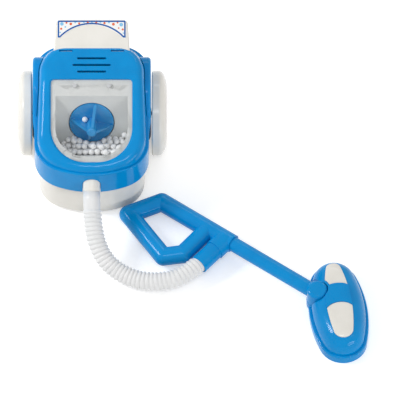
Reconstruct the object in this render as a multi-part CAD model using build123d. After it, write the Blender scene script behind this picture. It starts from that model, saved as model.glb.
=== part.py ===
from build123d import *
import os
from math import atan2, cos, degrees, hypot, pi, radians, sin, tan

# Toy vacuum cleaner: a wheeled body, a ribbed hose, a wand with a loop handle and a floor nozzle.
# Millimetres. X is to the right, Y to the back, Z up from the floor. The sizes are worked out about the
# point on the floor under the middle of the wheel axle, and place_all() moves everything to its origin.

# Body shells
WALL = 1.8
HALF_WIDTH = 41.2
FRONT_REACH = 70.5
REAR_REACH = 41.0
FRONT_BOW = 68.0
FRONT_CORNER = 25.0
REAR_CORNER = 22.0
BASE_INSET = 3.2
HOOD_INSET = 1.8
BASE_BOTTOM_Z = 1.6
BASE_FLOOR = 2.2
BASE_EDGE = 3.2
PARTING_Z = 34.5
SEAM_Z = 56.7
BAND_EDGE = 0.9
LEDGE = 2.0
LEDGE_REACH = 5.8

# Hood side outline: the window slope, the flat crown and the leaning back
LIP_Y = -63.4
LIP_Z = 62.0
BROW_Y = -7.2
BROW_Z = 86.4
CROWN_Y = 20.2
CROWN_Z = 87.2
BROW_BLEND = 22.0
HOOD_DRAFT = 5.0
HOOD_EDGE = 5.5
WINDOW_SLOPE = degrees(atan2(BROW_Z - LIP_Z, BROW_Y - LIP_Y))

# Fenders on the band beside the hood
FENDER_OUT = 42.5
HOOD_GAP = 0.3
FENDER_EDGE = 2.2
FENDER_FRONT = -30.0
FENDER_REAR = 29.0
FENDER_TOP_Z = 72.0
FENDER_CORNER = 9.0

# Vent and clip slots in the crown
VENT_WIDTH = 1.7
VENT_LENGTHS = (21.0, 27.6, 21.0)
VENT_PITCH = 5.6
VENT_MIDDLE_Y = 4.6
CLIP_SLOT_LENGTH = 9.6
CLIP_SLOT_WIDTH = 1.4
CLIP_SLOT_X = 18.6
CLIP_SLOT_Y = 16.6

# Window, clear cover and bead box
WINDOW_HALF = 29.2
WINDOW_LOW = 0.8
WINDOW_HIGH = 61.0
WINDOW_CORNER = 25.0
WINDOW_TOP_CORNER = 2.5
WINDOW_BEVEL = 1.3
COVER_THICK = 1.2
COVER_GAP = 0.25
FLANGE_MARGIN = 1.2
BOX_WALL = 1.5
CAVITY_HALF = 25.9
CAVITY_LOW = 5.1
CAVITY_HIGH = 51.2
CAVITY_CORNER = 21.0
BACK_WALL_LEAN = 25.7
BOX_FLOOR_Z = 40.0
BOX_FLOOR_LENGTH = 4.2
FRONT_WALL_SLOPE = 52.0
COVER_SCREW_X = 12.3
COVER_SCREW_V = 56.5

# Fan, its well in the back wall of the box, and the motor
FAN_Y = -27.3
FAN_RADIUS = 15.9
FAN_GAP = 0.7
FAN_PLATE = 1.6
FAN_HUB_HEIGHT = 15.0
FAN_HUB_ROOT = 3.9
FAN_HUB_TIP = 3.4
FAN_BLADES = 4
BLADE_THICK = 2.0
BLADE_TURN = -10.0
WELL_DEPTH = 4.2
SHAFT_RADIUS = 1.0
MOTOR_LENGTH = 25.0
MOTOR_RADIUS = 10.0
MOTOR_FLAT = 15.0
CLIP_THICK = 1.2
CLIP_WIDTH = 8.0

# Foam beads
BEAD_RADIUS = 2.3
BEAD_PITCH = 4.9
BEAD_SIDE_GAP = 0.3
# Each row of beads: its Y and Z, its sideways stagger, and where it starts on the left
BEAD_ROWS = ((-38.5, 43.2, 0.0, -30.0), (-36.4, 46.9, 0.5, -30.0), (-41.3, 46.9, 0.5, -30.0),
             (-34.2, 50.9, 0.0, -30.0), (-39.0, 50.9, 0.0, -30.0), (-43.9, 50.7, 0.0, -30.0),
             (-36.8, 54.9, 0.5, 12.0), (-41.5, 54.9, 0.5, 14.0))

# Wheels and axle
WHEEL_RADIUS = 30.6
WHEEL_WIDTH = 10.9
WHEEL_INNER_X = 43.1
WHEEL_WALL = 2.0
TREAD_FLAT = 5.0
SHOULDER_DROP = 13.0
AXLE_RADIUS = 1.5
AXLE_END_WALL = 2.5
RUNNING_GAP = 0.07
BOSS_RADIUS = 3.6
BOSS_END_X = 42.7
BOSS_START_X = 33.0

# Front roller
ROLLER_RADIUS = 7.0
ROLLER_WIDTH = 9.0
ROLLER_Y = -44.0
ROLLER_GAP = 1.0
ROLLER_PIN_RADIUS = 1.0

# Battery bay and door
BATTERY_RADIUS = 7.25
BATTERY_LENGTH = 49.3
BATTERY_NUB = 1.2
BATTERY_NUB_RADIUS = 2.7
BATTERY_PITCH = 15.0
BAY_MIDDLE_Y = 12.5
BAY_SIDE_GAP = 0.55
BAY_HEADROOM = 0.9
BAY_WALL = 1.6
BAY_END_WALL = 3.6
CONTACT_THICK = 0.5
CONTACT_SPRING = 1.85
DOOR_OVERLAP = 1.6
DOOR_THICK = 2.0
DOOR_GAP = 0.25
DOOR_TONGUE_HALF = 6.0
DOOR_TONGUE = 8.5
DOOR_SCREW_REACH = 1.6
HINGE_PIN_RADIUS = 0.7
HINGE_PIN_REACH = 2.0

# Screws and posts
POST_GAP = 2.6
POST_YS = (-34.0, 20.0)
POST_RADIUS = 2.9
BASE_POST_RADIUS = 3.6
SCREW_RADIUS = 1.3
SCREW_BORE = 1.45
SCREW_HEAD_RADIUS = 2.5
SCREW_HEAD = 1.8
SCREW_HEAD_Z = 26.0
BAND_POST_TOP_Z = 48.0
SCREW_TIP_Z = 56.0

# Power switch in the rear wall of the base
SWITCH_X = 9.5
SWITCH_Z = 28.2
SWITCH_TRAVEL = 4.0
SWITCH_KNOB = 4.4
SWITCH_SLOT_HEIGHT = 3.6
SWITCH_BODY = (16.0, 5.8, 7.0)

# Rear grip plate and its label
GRIP_HALF = 27.8
GRIP_REAR_HALF = 25.9
GRIP_LENGTH = 20.4
GRIP_DEPTH = 9.0
GRIP_PITCH = 25.0
GRIP_WALL = 2.0
GRIP_CORNER = 4.0
GRIP_EDGE = 1.2
GRIP_TAB_WIDTH = 8.8
GRIP_TAB_THICK = 1.2
GRIP_TAB_GAP = 0.4
LABEL_WIDTH = 49.4
LABEL_HEIGHT = 13.0
LABEL_MARGIN = 0.7
LABEL_THICK = 0.25
LABEL_ARCH = 31.0
LABEL_ARCH_TOP = 3.3

# Hose connector in the front of the band, and the hose
PORT_Z = 43.6
PORT_TILT = 32.0
CONNECTOR_RADIUS = 6.2
CONNECTOR_OUT = 4.0
CONNECTOR_IN = 9.0
CONNECTOR_FLANGE = 2.0
CONNECTOR_FLANGE_RADIUS = 7.6
SPIGOT_RADIUS = 4.8
SPIGOT_LENGTH = 9.0
HOSE_RADIUS = 6.8
HOSE_ROOT_RADIUS = 6.05
HOSE_BORE = 4.9
RIB_COUNT = 36
HOSE_CUFF = 13.6
HOSE_END_CUFF = 11.0
HOSE_ROUTE = ((7.6, -114.6, 15.0), (23.2, -125.2, 8.2), (42.6, -131.2, 8.2))
HOSE_START_RUN = 24.9
HOSE_END_RUN = 24.8

# Wand, in its own frame: s along the wand from the handle's front corner, w across it
WAND_CORNER = (50.4, -61.6, 7.7)
WAND_TURN = -36.9
WAND_RISE = 3.6
BAR = 13.4
BAR_WALL = 2.6
LOOP = ((-13.2, -22.4), (0.0, 0.0), (42.0, 0.0), (39.8, -27.8), (29.6, -37.6))
GRIP_END_S = 63.8
SOCKET_S = 57.4
SOCKET_TILT = 5.1
ROOT_HALF = 7.6
ROOT_LENGTH = 12.0
SOCKET_RADIUS = 6.95
SOCKET_LENGTH = 29.0
SOCKET_DEPTH = 10.2
SOCKET_CLEARANCE = 0.05
SOCKET_BORE = 3.2
WAND_RADIUS = 5.4
WAND_SPIGOT_RADIUS = 4.3
WAND_SPIGOT_REACH = 7.0
WAND_END_S = 135.2
WAND_TIP = 8.5
HANDLE_SCREWS = ((-7.5, -20.0), (26.0, 0.0), (34.0, -31.5))
HANDLE_POST_RADIUS = 2.7

# Neck: a collar on the wand's end and an upright knuckle in the nozzle
COLLAR_START_S = 135.5
COLLAR_RADIUS = 6.8
PIVOT_S = 139.5
KNUCKLE_RADIUS = 7.5
KNUCKLE_SKIN = 0.2
KNUCKLE_EDGE = 2.6
KNUCKLE_GAP = 0.3
KNUCKLE_LINING = 1.5
HUB_LIP = 0.2
HUB_LOW_Z = 3.0
PIVOT_PIN_RADIUS = 2.0
PIVOT_BOSS_RADIUS = 4.6
NECK_SWING = 12.0

# Nozzle
NOZZLE_TURN = -82.0
PIVOT_U = -11.05
PIVOT_W = -13.86
NOZZLE_HALF_LENGTH = 40.0
NOZZLE_HALF_WIDTH = 21.0
NOZZLE_SIDE_BOW = 90.0
SKIRT_HEIGHT = 7.0
SKIRT_STEP = 2.0
SKIRT_EDGE = 1.2
DOME_HEIGHT = 22.5
DOME_EDGE = 14.0
NOZZLE_WALL = 2.4
INSERT_THICK = 1.2
INSERT_GAP = 0.1
INSERT_RAISE = 0.5
INSERT_EDGE = 0.4
# Insert outline: (u, half width) at its upper end, upper shoulder, widest place, lower shoulder and lower end
INSERT_PROFILE = ((-32.5, 0.0), (-28.5, 5.2), (6.0, 9.2), (26.5, 6.9), (31.2, 0.0))
INSERT_CORNER = 4.0
SADDLE_FRONT_U = -13.6
SADDLE_FRONT_BOW = 20.0
SADDLE_REAR_U = 2.2
SADDLE_REAR_BOW = 14.0
SADDLE_RAISE = 1.0
SOLE_THICK = 1.8
SOLE_GAP = 0.15
SOLE_SLOT_LENGTH = 46.0
SOLE_SLOT_WIDTH = 8.0
SOLE_SLOT_W = 7.0
NOZZLE_POST_U = 25.0
NOZZLE_POST_RADIUS = 2.8
SOLE_HEAD_RADIUS = 2.2
SOLE_HEAD_TOP = 1.0

HEEL_Y = REAR_REACH - HOOD_INSET
BASE_REAR_Y = REAR_REACH - BASE_INSET
BASE_SIDE_X = HALF_WIDTH - BASE_INSET
WINDOW = Plane(origin=(0, LIP_Y, LIP_Z), x_dir=(1, 0, 0),
               z_dir=(0, -sin(radians(WINDOW_SLOPE)), cos(radians(WINDOW_SLOPE))))
WALL_TOP = WINDOW.from_local_coords(Vector(0, CAVITY_HIGH, 0))
FAN_CENTRE = (0, FAN_Y, WALL_TOP.Z - (WALL_TOP.Y - FAN_Y) / tan(radians(BACK_WALL_LEAN)))
FAN = Plane(origin=FAN_CENTRE, x_dir=(1, 0, 0),
            z_dir=(0, -cos(radians(BACK_WALL_LEAN)), sin(radians(BACK_WALL_LEAN))))
PORT = Plane(origin=(0, -FRONT_REACH, PORT_Z), x_dir=(1, 0, 0),
             z_dir=(0, -cos(radians(PORT_TILT)), -sin(radians(PORT_TILT))))
GRIP = Plane(origin=(0, CROWN_Y - 0.8, CROWN_Z), x_dir=(1, 0, 0),
             z_dir=(0, -sin(radians(GRIP_PITCH)), cos(radians(GRIP_PITCH))))
WAND = Plane(Location(WAND_CORNER, (0, 0, WAND_TURN)) * Location((0, 0, 0), (0, -WAND_RISE, 0)))
SOCKET = Location(WAND) * Location((SOCKET_S, 0, 0), (0, 0, -SOCKET_TILT))
PIVOT = WAND.from_local_coords(Vector(PIVOT_S, 0, 0))
NOZZLE = Plane(Location((PIVOT.X, PIVOT.Y, 0), (0, 0, NOZZLE_TURN)) * Location((-PIVOT_U, -PIVOT_W, 0)))
WELL_RADIUS = FAN_RADIUS + FAN_GAP
BAY_HALF = (BATTERY_LENGTH + BATTERY_NUB) / 2 + CONTACT_THICK + CONTACT_SPRING
BAY_WIDTH = BATTERY_PITCH + 2 * (BATTERY_RADIUS + BAY_SIDE_GAP)
POST_X = BAY_HALF + BAY_END_WALL + POST_GAP
DOOR_HALF = BAY_HALF + DOOR_OVERLAP
DOOR_AXIS_Y = BAY_MIDDLE_Y + BAY_WIDTH / 2 + 0.6
DOOR_AXIS_Z = BASE_BOTTOM_Z + DOOR_THICK / 2
DOOR_FRONT_Y = BAY_MIDDLE_Y - BAY_WIDTH / 2 - 1.2
DOOR_SCREW_Y = DOOR_FRONT_Y - DOOR_TONGUE / 2 - 0.8
BAY_FLOOR_Z = BASE_BOTTOM_Z + DOOR_THICK + 0.2
BAY_TOP_Z = BAY_FLOOR_Z + 2 * BATTERY_RADIUS + BAY_HEADROOM
KNUCKLE_LOW_Z = PIVOT.Z - COLLAR_RADIUS - KNUCKLE_SKIN
KNUCKLE_TOP_Z = PIVOT.Z + COLLAR_RADIUS + KNUCKLE_SKIN


# Shared shapes

def block(x, y, z):
    """Box from three (low, high) pairs."""
    middle = [(low + high) / 2 for low, high in (x, y, z)]
    return Pos(*middle) * Box(x[1] - x[0], y[1] - y[0], z[1] - z[0])


def rod(plane, radius, low, high, x=0.0, y=0.0):
    """Cylinder along a plane's normal, from one height to another."""
    return plane * Pos(x, y, (low + high) / 2) * Cylinder(radius, high - low)


def upright(radius, x, y, low, high):
    return rod(Plane.XY, radius, low, high, x, y)


def side_slab(points, half, radii=()):
    """Side outline in Y and Z with its first corners rounded, drawn out to both sides."""
    face = make_face(Polyline(*points, close=True))
    for (corner, radius) in radii:
        near = face.vertices().sort_by_distance(Vector(corner[0], corner[1], 0))[0]
        face = fillet(near, radius)
    return extrude(Plane.YZ * face, amount=half, both=True)


def sides_of(maker):
    """The same piece on the left and on the right."""
    return maker(1), maker(-1)


def outline(inset, rear=REAR_REACH, rear_corner=REAR_CORNER):
    """Body outline from above: straight sides, a bowed front and rounded corners."""
    half = HALF_WIDTH - inset
    front = -(FRONT_REACH - inset)
    back = rear - inset
    bow = FRONT_BOW - inset
    frame = Pos(0, (front - 10 + back) / 2) * Rectangle(2 * half, back - front + 10)
    face = frame & (Pos(0, front + bow) * Circle(bow))
    corners = face.vertices().sort_by(Axis.Y)
    face = fillet(corners[:2], FRONT_CORNER - inset)
    corners = face.vertices().sort_by(Axis.Y)
    return fillet(corners[-2:], max(rear_corner - inset, 1.0)) if rear_corner else face


def prism(inset, low, high):
    return extrude(Pos(0, 0, low) * outline(inset), amount=high - low)


def rim_edges(faces):
    """Edges that belong to only one of these faces."""
    found = {}
    for face in faces:
        for edge in face.edges():
            middle = edge.center()
            key = (round(middle.X, 2), round(middle.Y, 2), round(middle.Z, 2))
            found.setdefault(key, []).append(edge)
    return [edges[0] for edges in found.values() if len(edges) == 1]


def oval(half_length, half_width, side_bow):
    """Oval of four tangent arcs, long along X."""
    reach = side_bow - half_width
    end = (side_bow ** 2 - reach ** 2 - half_length ** 2) / (2 * (side_bow - half_length))
    turn = atan2(half_length - end, reach)
    joint_x = side_bow * sin(turn)
    joint_y = side_bow * cos(turn) - reach
    top = ThreePointArc((-joint_x, joint_y), (0, half_width), (joint_x, joint_y))
    nose = ThreePointArc((joint_x, joint_y), (half_length, 0), (joint_x, -joint_y))
    low = ThreePointArc((joint_x, -joint_y), (0, -half_width), (-joint_x, -joint_y))
    tail = ThreePointArc((-joint_x, -joint_y), (-half_length, 0), (-joint_x, joint_y))
    return make_face([top, nose, low, tail])


def screw(x, y, head_z, tip_z):
    """Pan-head screw that points up, with its head at the bottom."""
    head = upright(SCREW_HEAD_RADIUS, x, y, head_z - SCREW_HEAD, head_z)
    slot = block((x - 2, x + 2), (y - 0.35, y + 0.35), (head_z - SCREW_HEAD - 1, head_z - SCREW_HEAD + 0.7))
    return head - slot + upright(SCREW_RADIUS, x, y, head_z, tip_z)


# Hood

def hood_block(inset):
    """Solid of the hood's outer form, carried on below its seam; inset gives the inner form."""
    low = PARTING_Z + 6
    start = HOOD_INSET + inset - (SEAM_Z - low) * tan(radians(HOOD_DRAFT))
    core = extrude(Pos(0, 0, low) * outline(start, rear=REAR_REACH + 30, rear_corner=0), amount=60,
                   taper=HOOD_DRAFT)
    rise = (BROW_Z - LIP_Z) / (BROW_Y - LIP_Y)
    fall = (SEAM_Z - CROWN_Z) / (HEEL_Y - CROWN_Y)
    front = LIP_Y - 30
    heel_low = CROWN_Y + (low - 10 - CROWN_Z) / fall
    points = [(front, low - 10), (front, LIP_Z - 30 * rise), (BROW_Y, BROW_Z), (CROWN_Y, CROWN_Z),
              (heel_low, low - 10)]
    face = make_face(Polyline(*points, close=True))
    if inset:
        face = offset(face, -inset, kind=Kind.INTERSECTION)
    brow = face.vertices().sort_by_distance(Vector(BROW_Y, BROW_Z, 0))[0]
    face = fillet(brow, BROW_BLEND - inset)
    body = core & extrude(Plane.YZ * face, amount=HALF_WIDTH + 20, both=True)
    back = body.faces().filter_by(lambda f: f.normal_at().Y > 0.5).sort_by(Axis.Y)[-1]
    upright_edges = [e for e in back.edges() if abs(e.tangent_at(0.5).X) < 0.5]
    body = fillet(upright_edges, REAR_CORNER - HOOD_INSET - inset)
    tops = body.faces().filter_by(lambda f: f.normal_at().Z > 0.7)
    return fillet(rim_edges(tops), HOOD_EDGE - inset)


def window_opening():
    """The D-shaped opening, bevelled on the outside."""
    hole = extrude(WINDOW * Pos(0, 0, -2 * WALL) * d_face(0), amount=6 * WALL)
    flare = extrude(WINDOW * Pos(0, 0, -WINDOW_BEVEL) * d_face(0), amount=3 * WINDOW_BEVEL, taper=-45)
    return hole + flare


def d_face(grow):
    """Window outline in the window plane: square top, deeply rounded bottom."""
    width = 2 * (WINDOW_HALF + grow)
    height = WINDOW_HIGH - WINDOW_LOW + 2 * grow
    face = Pos(0, (WINDOW_LOW + WINDOW_HIGH) / 2) * Rectangle(width, height)
    face = fillet(face.vertices().sort_by(Axis.Y)[:2], WINDOW_CORNER + grow)
    return fillet(face.vertices().sort_by(Axis.Y)[-2:], WINDOW_TOP_CORNER + max(grow, 0))


def crown_slots():
    cuts = []
    for index, length in enumerate(VENT_LENGTHS):
        y = VENT_MIDDLE_Y + (index - 1) * VENT_PITCH
        cuts.append(Pos(0, y, CROWN_Z) * extrude(SlotOverall(length, VENT_WIDTH), amount=9, both=True))
    for side in (1, -1):
        slot = Rectangle(CLIP_SLOT_LENGTH, CLIP_SLOT_WIDTH)
        cuts.append(Pos(side * CLIP_SLOT_X, CLIP_SLOT_Y, CROWN_Z) * extrude(slot, amount=9, both=True))
    return cuts


def grip_tab_cuts():
    """Openings in the hood's back where the grip's tongues pass in."""
    half = GRIP_TAB_WIDTH / 2 + 0.3
    z = CROWN_Z - WALL
    return [block((side * CLIP_SLOT_X - half, side * CLIP_SLOT_X + half), (CROWN_Y - 2, CROWN_Y + 12),
                  (z - GRIP_TAB_THICK - 2.5 * GRIP_TAB_GAP, z)) for side in (1, -1)]


def hood_posts(outer):
    posts = []
    for x in (POST_X, -POST_X):
        for y in POST_YS:
            post = upright(POST_RADIUS, x, y, BAND_POST_TOP_Z, CROWN_Z + 5) & outer
            posts.append(post - upright(SCREW_RADIUS, x, y, BAND_POST_TOP_Z - 1, SCREW_TIP_Z + 1))
    return posts


def hood():
    outer = hood_block(0)
    shell = outer - hood_block(WALL) - block((-99, 99), (-99, 99), (0, SEAM_Z))
    shell = shell - window_opening()
    for cut in crown_slots() + grip_tab_cuts():
        shell = shell - cut
    for post in hood_posts(outer):
        shell = shell + post
    return shell


# Band with its fenders

def fender(side):
    """Cheek beside the hood: its inner face follows the hood, and its ends curve in from above."""
    points = [(FENDER_FRONT, PARTING_Z), (FENDER_FRONT, PARTING_Z + 11.5), (FENDER_FRONT + 24, FENDER_TOP_Z),
              (FENDER_REAR - 8, FENDER_TOP_Z), (FENDER_REAR, FENDER_TOP_Z - 12), (FENDER_REAR, PARTING_Z)]
    radii = ((points[1], 12.0), (points[2], 14.0), (points[3], 11.0), (points[4], 10.0))
    plate = side_slab(points, FENDER_OUT, radii)
    plate = plate & block((HALF_WIDTH - FENDER_CORNER, FENDER_OUT + 1), (-99, 99), (0, 99))
    outer_face = plate.faces().sort_by(Axis.X)[-1]
    rim = [e for e in outer_face.edges() if e.center().Z > PARTING_Z + 1]
    plan = RectangleRounded(2 * FENDER_OUT, FENDER_REAR - FENDER_FRONT, FENDER_CORNER)
    plan = Pos(0, (FENDER_FRONT + FENDER_REAR) / 2, PARTING_Z) * plan
    plate = (fillet(rim, FENDER_EDGE) & extrude(plan, amount=FENDER_TOP_Z)) - hood_block(-HOOD_GAP)
    return plate if side > 0 else mirror(plate, about=Plane.YZ)


def band_posts():
    posts = []
    for x in (POST_X, -POST_X):
        for y in POST_YS:
            posts.append(upright(POST_RADIUS, x, y, PARTING_Z, BAND_POST_TOP_Z))
    return posts


def notch(grow):
    """Arch for the hose connector, open down to the parting line."""
    arch = rod(PORT, CONNECTOR_RADIUS + grow, -CONNECTOR_IN - 4, CONNECTOR_OUT + 12)
    foot = block((-CONNECTOR_RADIUS - grow, CONNECTOR_RADIUS + grow), (-FRONT_REACH - 5, -FRONT_REACH + 9),
                 (PARTING_Z - 0.01, PORT_Z))
    return arch + foot


def band():
    skin = prism(0, PARTING_Z, SEAM_Z)
    top = skin.faces().sort_by(Axis.Z)[-1]
    skin = fillet(top.edges(), BAND_EDGE)
    shell = skin - prism(LEDGE_REACH, PARTING_Z - 1, SEAM_Z + 1)
    shell = shell - prism(WALL, PARTING_Z + LEDGE, SEAM_Z - LEDGE)
    for piece in list(sides_of(fender)) + band_posts():
        shell = shell + piece
    for x in (POST_X, -POST_X):
        for y in POST_YS:
            shell = shell - upright(SCREW_BORE, x, y, PARTING_Z - 1, BAND_POST_TOP_Z + 1)
    for x in (POST_X, -POST_X):
        for y in POST_YS:
            shell = shell - upright(POST_RADIUS + 0.3, x, y, BAND_POST_TOP_Z, SEAM_Z + 1)
    for boss in axle_bosses(0.2):
        shell = shell - boss
    return shell - notch(0.3) - connector_room() - axle_room()


# Base with the battery bay, axle bosses and roller pocket

def base_shell():
    skin = prism(BASE_INSET, BASE_BOTTOM_Z, PARTING_Z)
    bottom = skin.faces().sort_by(Axis.Z)[0]
    skin = fillet(bottom.edges(), BASE_EDGE)
    inner = prism(BASE_INSET + WALL, BASE_BOTTOM_Z + BASE_FLOOR, PARTING_Z + 1)
    floor = inner.faces().sort_by(Axis.Z)[0]
    return skin - fillet(floor.edges(), BASE_EDGE - WALL)


def bay_walls():
    y = (BAY_MIDDLE_Y - BAY_WIDTH / 2, BAY_MIDDLE_Y + BAY_WIDTH / 2)
    outer = block((-BAY_HALF - BAY_END_WALL, BAY_HALF + BAY_END_WALL), (y[0] - 2.4, BASE_REAR_Y - WALL / 2),
                  (BASE_BOTTOM_Z + 1, BAY_TOP_Z + BAY_WALL))
    return outer


def bay_room():
    y = (BAY_MIDDLE_Y - BAY_WIDTH / 2, BAY_MIDDLE_Y + BAY_WIDTH / 2)
    return block((-BAY_HALF, BAY_HALF), y, (BASE_BOTTOM_Z - 1, BAY_TOP_Z))


def door_plate(grow, low, high):
    """The door's outline, a plate with a tongue for its screw, and a rounded hinge edge."""
    plate = block((-DOOR_HALF - grow, DOOR_HALF + grow), (DOOR_FRONT_Y - grow, DOOR_AXIS_Y), (low, high))
    tongue = block((-DOOR_TONGUE_HALF - grow, DOOR_TONGUE_HALF + grow),
                   (DOOR_FRONT_Y - DOOR_TONGUE - grow, DOOR_FRONT_Y + 2), (low, high))
    return plate + tongue


def door_room():
    low = BASE_BOTTOM_Z - 1
    room = door_plate(DOOR_GAP, low, BAY_FLOOR_Z)
    edge = block((-DOOR_HALF - DOOR_GAP, DOOR_HALF + DOOR_GAP),
                 (DOOR_AXIS_Y - 1, DOOR_AXIS_Y + DOOR_THICK / 2 + 0.35), (low, BAY_FLOOR_Z))
    pins = Pos(0, DOOR_AXIS_Y, DOOR_AXIS_Z) * Rot(0, 90, 0) * Cylinder(
        HINGE_PIN_RADIUS + RUNNING_GAP, 2 * (DOOR_HALF + HINGE_PIN_REACH + 0.4))
    return room + edge + pins


def roller_pocket(grow):
    half = ROLLER_WIDTH / 2 + ROLLER_GAP + grow
    reach = ROLLER_RADIUS + ROLLER_GAP + grow
    return block((-half, half), (ROLLER_Y - reach, ROLLER_Y + reach),
                 (BASE_BOTTOM_Z - 1, ROLLER_RADIUS * 2 + ROLLER_GAP + grow))


def axle_bosses(grow=0.0):
    return [Pos(side * (BOSS_START_X + BOSS_END_X) / 2, 0, WHEEL_RADIUS) * Rot(0, 90, 0)
            * Cylinder(BOSS_RADIUS + grow, BOSS_END_X - BOSS_START_X) for side in (1, -1)]


def axle_room():
    return Pos(0, 0, WHEEL_RADIUS) * Rot(0, 90, 0) * Cylinder(AXLE_RADIUS + RUNNING_GAP, 4 * HALF_WIDTH)


def switch_ribs():
    y = (BASE_REAR_Y - WALL - SWITCH_BODY[1] - 1.2, BASE_REAR_Y - WALL / 2)
    z = (BAY_TOP_Z, SWITCH_Z + SWITCH_BODY[2] / 2 - 1)
    half = SWITCH_BODY[0] / 2 + 0.1
    middle = SWITCH_X + SWITCH_TRAVEL / 2
    return [block((middle + low, middle + low + 1.4), y, z) for low in (half, -half - 1.4)]


def base():
    body = base_shell() + (bay_walls() & prism(BASE_INSET + WALL / 2, 0, PARTING_Z))
    body = body + (roller_pocket(WALL) - block((-99, 99), (-99, 99), (0, BASE_BOTTOM_Z)))
    tongue_y = (DOOR_FRONT_Y - DOOR_TONGUE - 2, DOOR_FRONT_Y + 1)
    half = DOOR_TONGUE_HALF + 2
    body = body + block((-half, half), tongue_y, (BASE_BOTTOM_Z + 1, BAY_FLOOR_Z + 4))
    for x in (POST_X, -POST_X):
        for y in POST_YS:
            body = body + upright(BASE_POST_RADIUS, x, y, BASE_BOTTOM_Z + 1, PARTING_Z)
    for piece in axle_bosses() + switch_ribs():
        body = body + piece
    saddle = block((-CONNECTOR_RADIUS, CONNECTOR_RADIUS), (-FRONT_REACH + BASE_INSET, -FRONT_REACH + 7.5),
                   (PARTING_Z - 3, PORT_Z))
    body = body + (saddle - block((-99, 99), (-99, 99), (PORT_Z - 2, 99)))
    body = body - rod(PORT, CONNECTOR_RADIUS, -CONNECTOR_IN - 4, CONNECTOR_OUT + 12) - connector_room()
    body = body - bay_room() - door_room() - roller_pocket(0)
    body = body - roller_pin() - axle_room()
    for x in (POST_X, -POST_X):
        for y in POST_YS:
            body = body - upright(SCREW_BORE, x, y, 0, PARTING_Z + 1)
            body = body - upright(SCREW_HEAD_RADIUS + 0.2, x, y, 0, SCREW_HEAD_Z)
    body = body - upright(SCREW_BORE, 0, DOOR_SCREW_Y, BAY_FLOOR_Z - 1, BAY_FLOOR_Z + DOOR_SCREW_REACH + 0.4)
    slot_x = (SWITCH_X - SWITCH_KNOB / 2 - 0.3, SWITCH_X + SWITCH_TRAVEL + SWITCH_KNOB / 2 + 0.3)
    half = SWITCH_SLOT_HEIGHT / 2
    return body - block(slot_x, (BASE_REAR_Y - 4, BASE_REAR_Y + 2), (SWITCH_Z - half, SWITCH_Z + half))


# Battery door, batteries and contacts

def battery_door():
    plate = door_plate(0, BASE_BOTTOM_Z, BASE_BOTTOM_Z + DOOR_THICK)
    roll = Pos(0, DOOR_AXIS_Y, DOOR_AXIS_Z) * Rot(0, 90, 0) * Cylinder(DOOR_THICK / 2, 2 * DOOR_HALF)
    pins = Pos(0, DOOR_AXIS_Y, DOOR_AXIS_Z) * Rot(0, 90, 0) * Cylinder(
        HINGE_PIN_RADIUS, 2 * (DOOR_HALF + HINGE_PIN_REACH))
    door = plate + roll + pins - upright(SCREW_BORE, 0, DOOR_SCREW_Y, 0, BAY_FLOOR_Z)
    door = door - upright(SCREW_HEAD_RADIUS + 0.1, 0, DOOR_SCREW_Y, 0, BASE_BOTTOM_Z + 1.0)
    for index in range(3):
        y = BAY_MIDDLE_Y - 6 + index * 6
        door = door - block((-8, 8), (y - 0.6, y + 0.6), (0, BASE_BOTTOM_Z + 0.6))
    return door


def door_screw():
    head_z = BASE_BOTTOM_Z + 1.0
    head = upright(SCREW_HEAD_RADIUS, 0, DOOR_SCREW_Y, head_z - 0.9, head_z)
    slot = block((-2, 2), (DOOR_SCREW_Y - 0.35, DOOR_SCREW_Y + 0.35), (0, head_z - 0.5))
    return head - slot + upright(SCREW_RADIUS, 0, DOOR_SCREW_Y, head_z, BAY_FLOOR_Z + DOOR_SCREW_REACH)


def battery(side):
    y = BAY_MIDDLE_Y + side * BATTERY_PITCH / 2
    z = BAY_TOP_Z - BATTERY_RADIUS
    start = side * -(BATTERY_LENGTH + BATTERY_NUB) / 2
    turned = Rot(0, 90, 0) if side > 0 else Rot(0, -90, 0)
    can = Pos(0, 0, BATTERY_LENGTH / 2) * Cylinder(BATTERY_RADIUS, BATTERY_LENGTH)
    nub = Pos(0, 0, BATTERY_LENGTH + BATTERY_NUB / 2) * Cylinder(BATTERY_NUB_RADIUS, BATTERY_NUB)
    return Pos(start, y, z) * turned * (can + nub)


def contact(side):
    """Plate at one end of the bay, with a coil's envelope for one cell and a pad for the other."""
    half = BATTERY_LENGTH / 2 + BATTERY_NUB / 2
    x = (BAY_HALF - CONTACT_THICK, BAY_HALF)
    y_mid = BAY_MIDDLE_Y
    z = BAY_TOP_Z - BATTERY_RADIUS
    plate = block(x, (y_mid - 13, y_mid + 13), (z - 5.5, z + 5.5))
    for place, radius in ((1, BATTERY_NUB_RADIUS), (-1, 3.6)):
        pad = Pos((half + x[0]) / 2, y_mid + place * BATTERY_PITCH / 2, z) * Rot(0, 90, 0) * Cylinder(
            radius, x[0] - half)
        plate = plate + pad
    return plate if side > 0 else Pos(0, 2 * y_mid, 0) * Rot(0, 0, 180) * plate


# Switch

def switch_knob():
    z = (SWITCH_Z - SWITCH_SLOT_HEIGHT / 2 + 0.2, SWITCH_Z + SWITCH_SLOT_HEIGHT / 2 - 0.2)
    x = (SWITCH_X - SWITCH_KNOB / 2, SWITCH_X + SWITCH_KNOB / 2)
    thumb = block(x, (BASE_REAR_Y - WALL - 1, BASE_REAR_Y + 2.2), z)
    plate = block((x[0] - 1.4, x[1] + 1.4), (BASE_REAR_Y - WALL - 1.3, BASE_REAR_Y - WALL - 0.1),
                  (z[0] - 0.8, z[1] + 0.8))
    knob = thumb + plate
    for index in range(3):
        groove_x = SWITCH_X - 1.3 + index * 1.3
        knob = knob - block((groove_x - 0.25, groove_x + 0.25), (BASE_REAR_Y + 1.8, BASE_REAR_Y + 3), (0, 99))
    return knob


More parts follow.
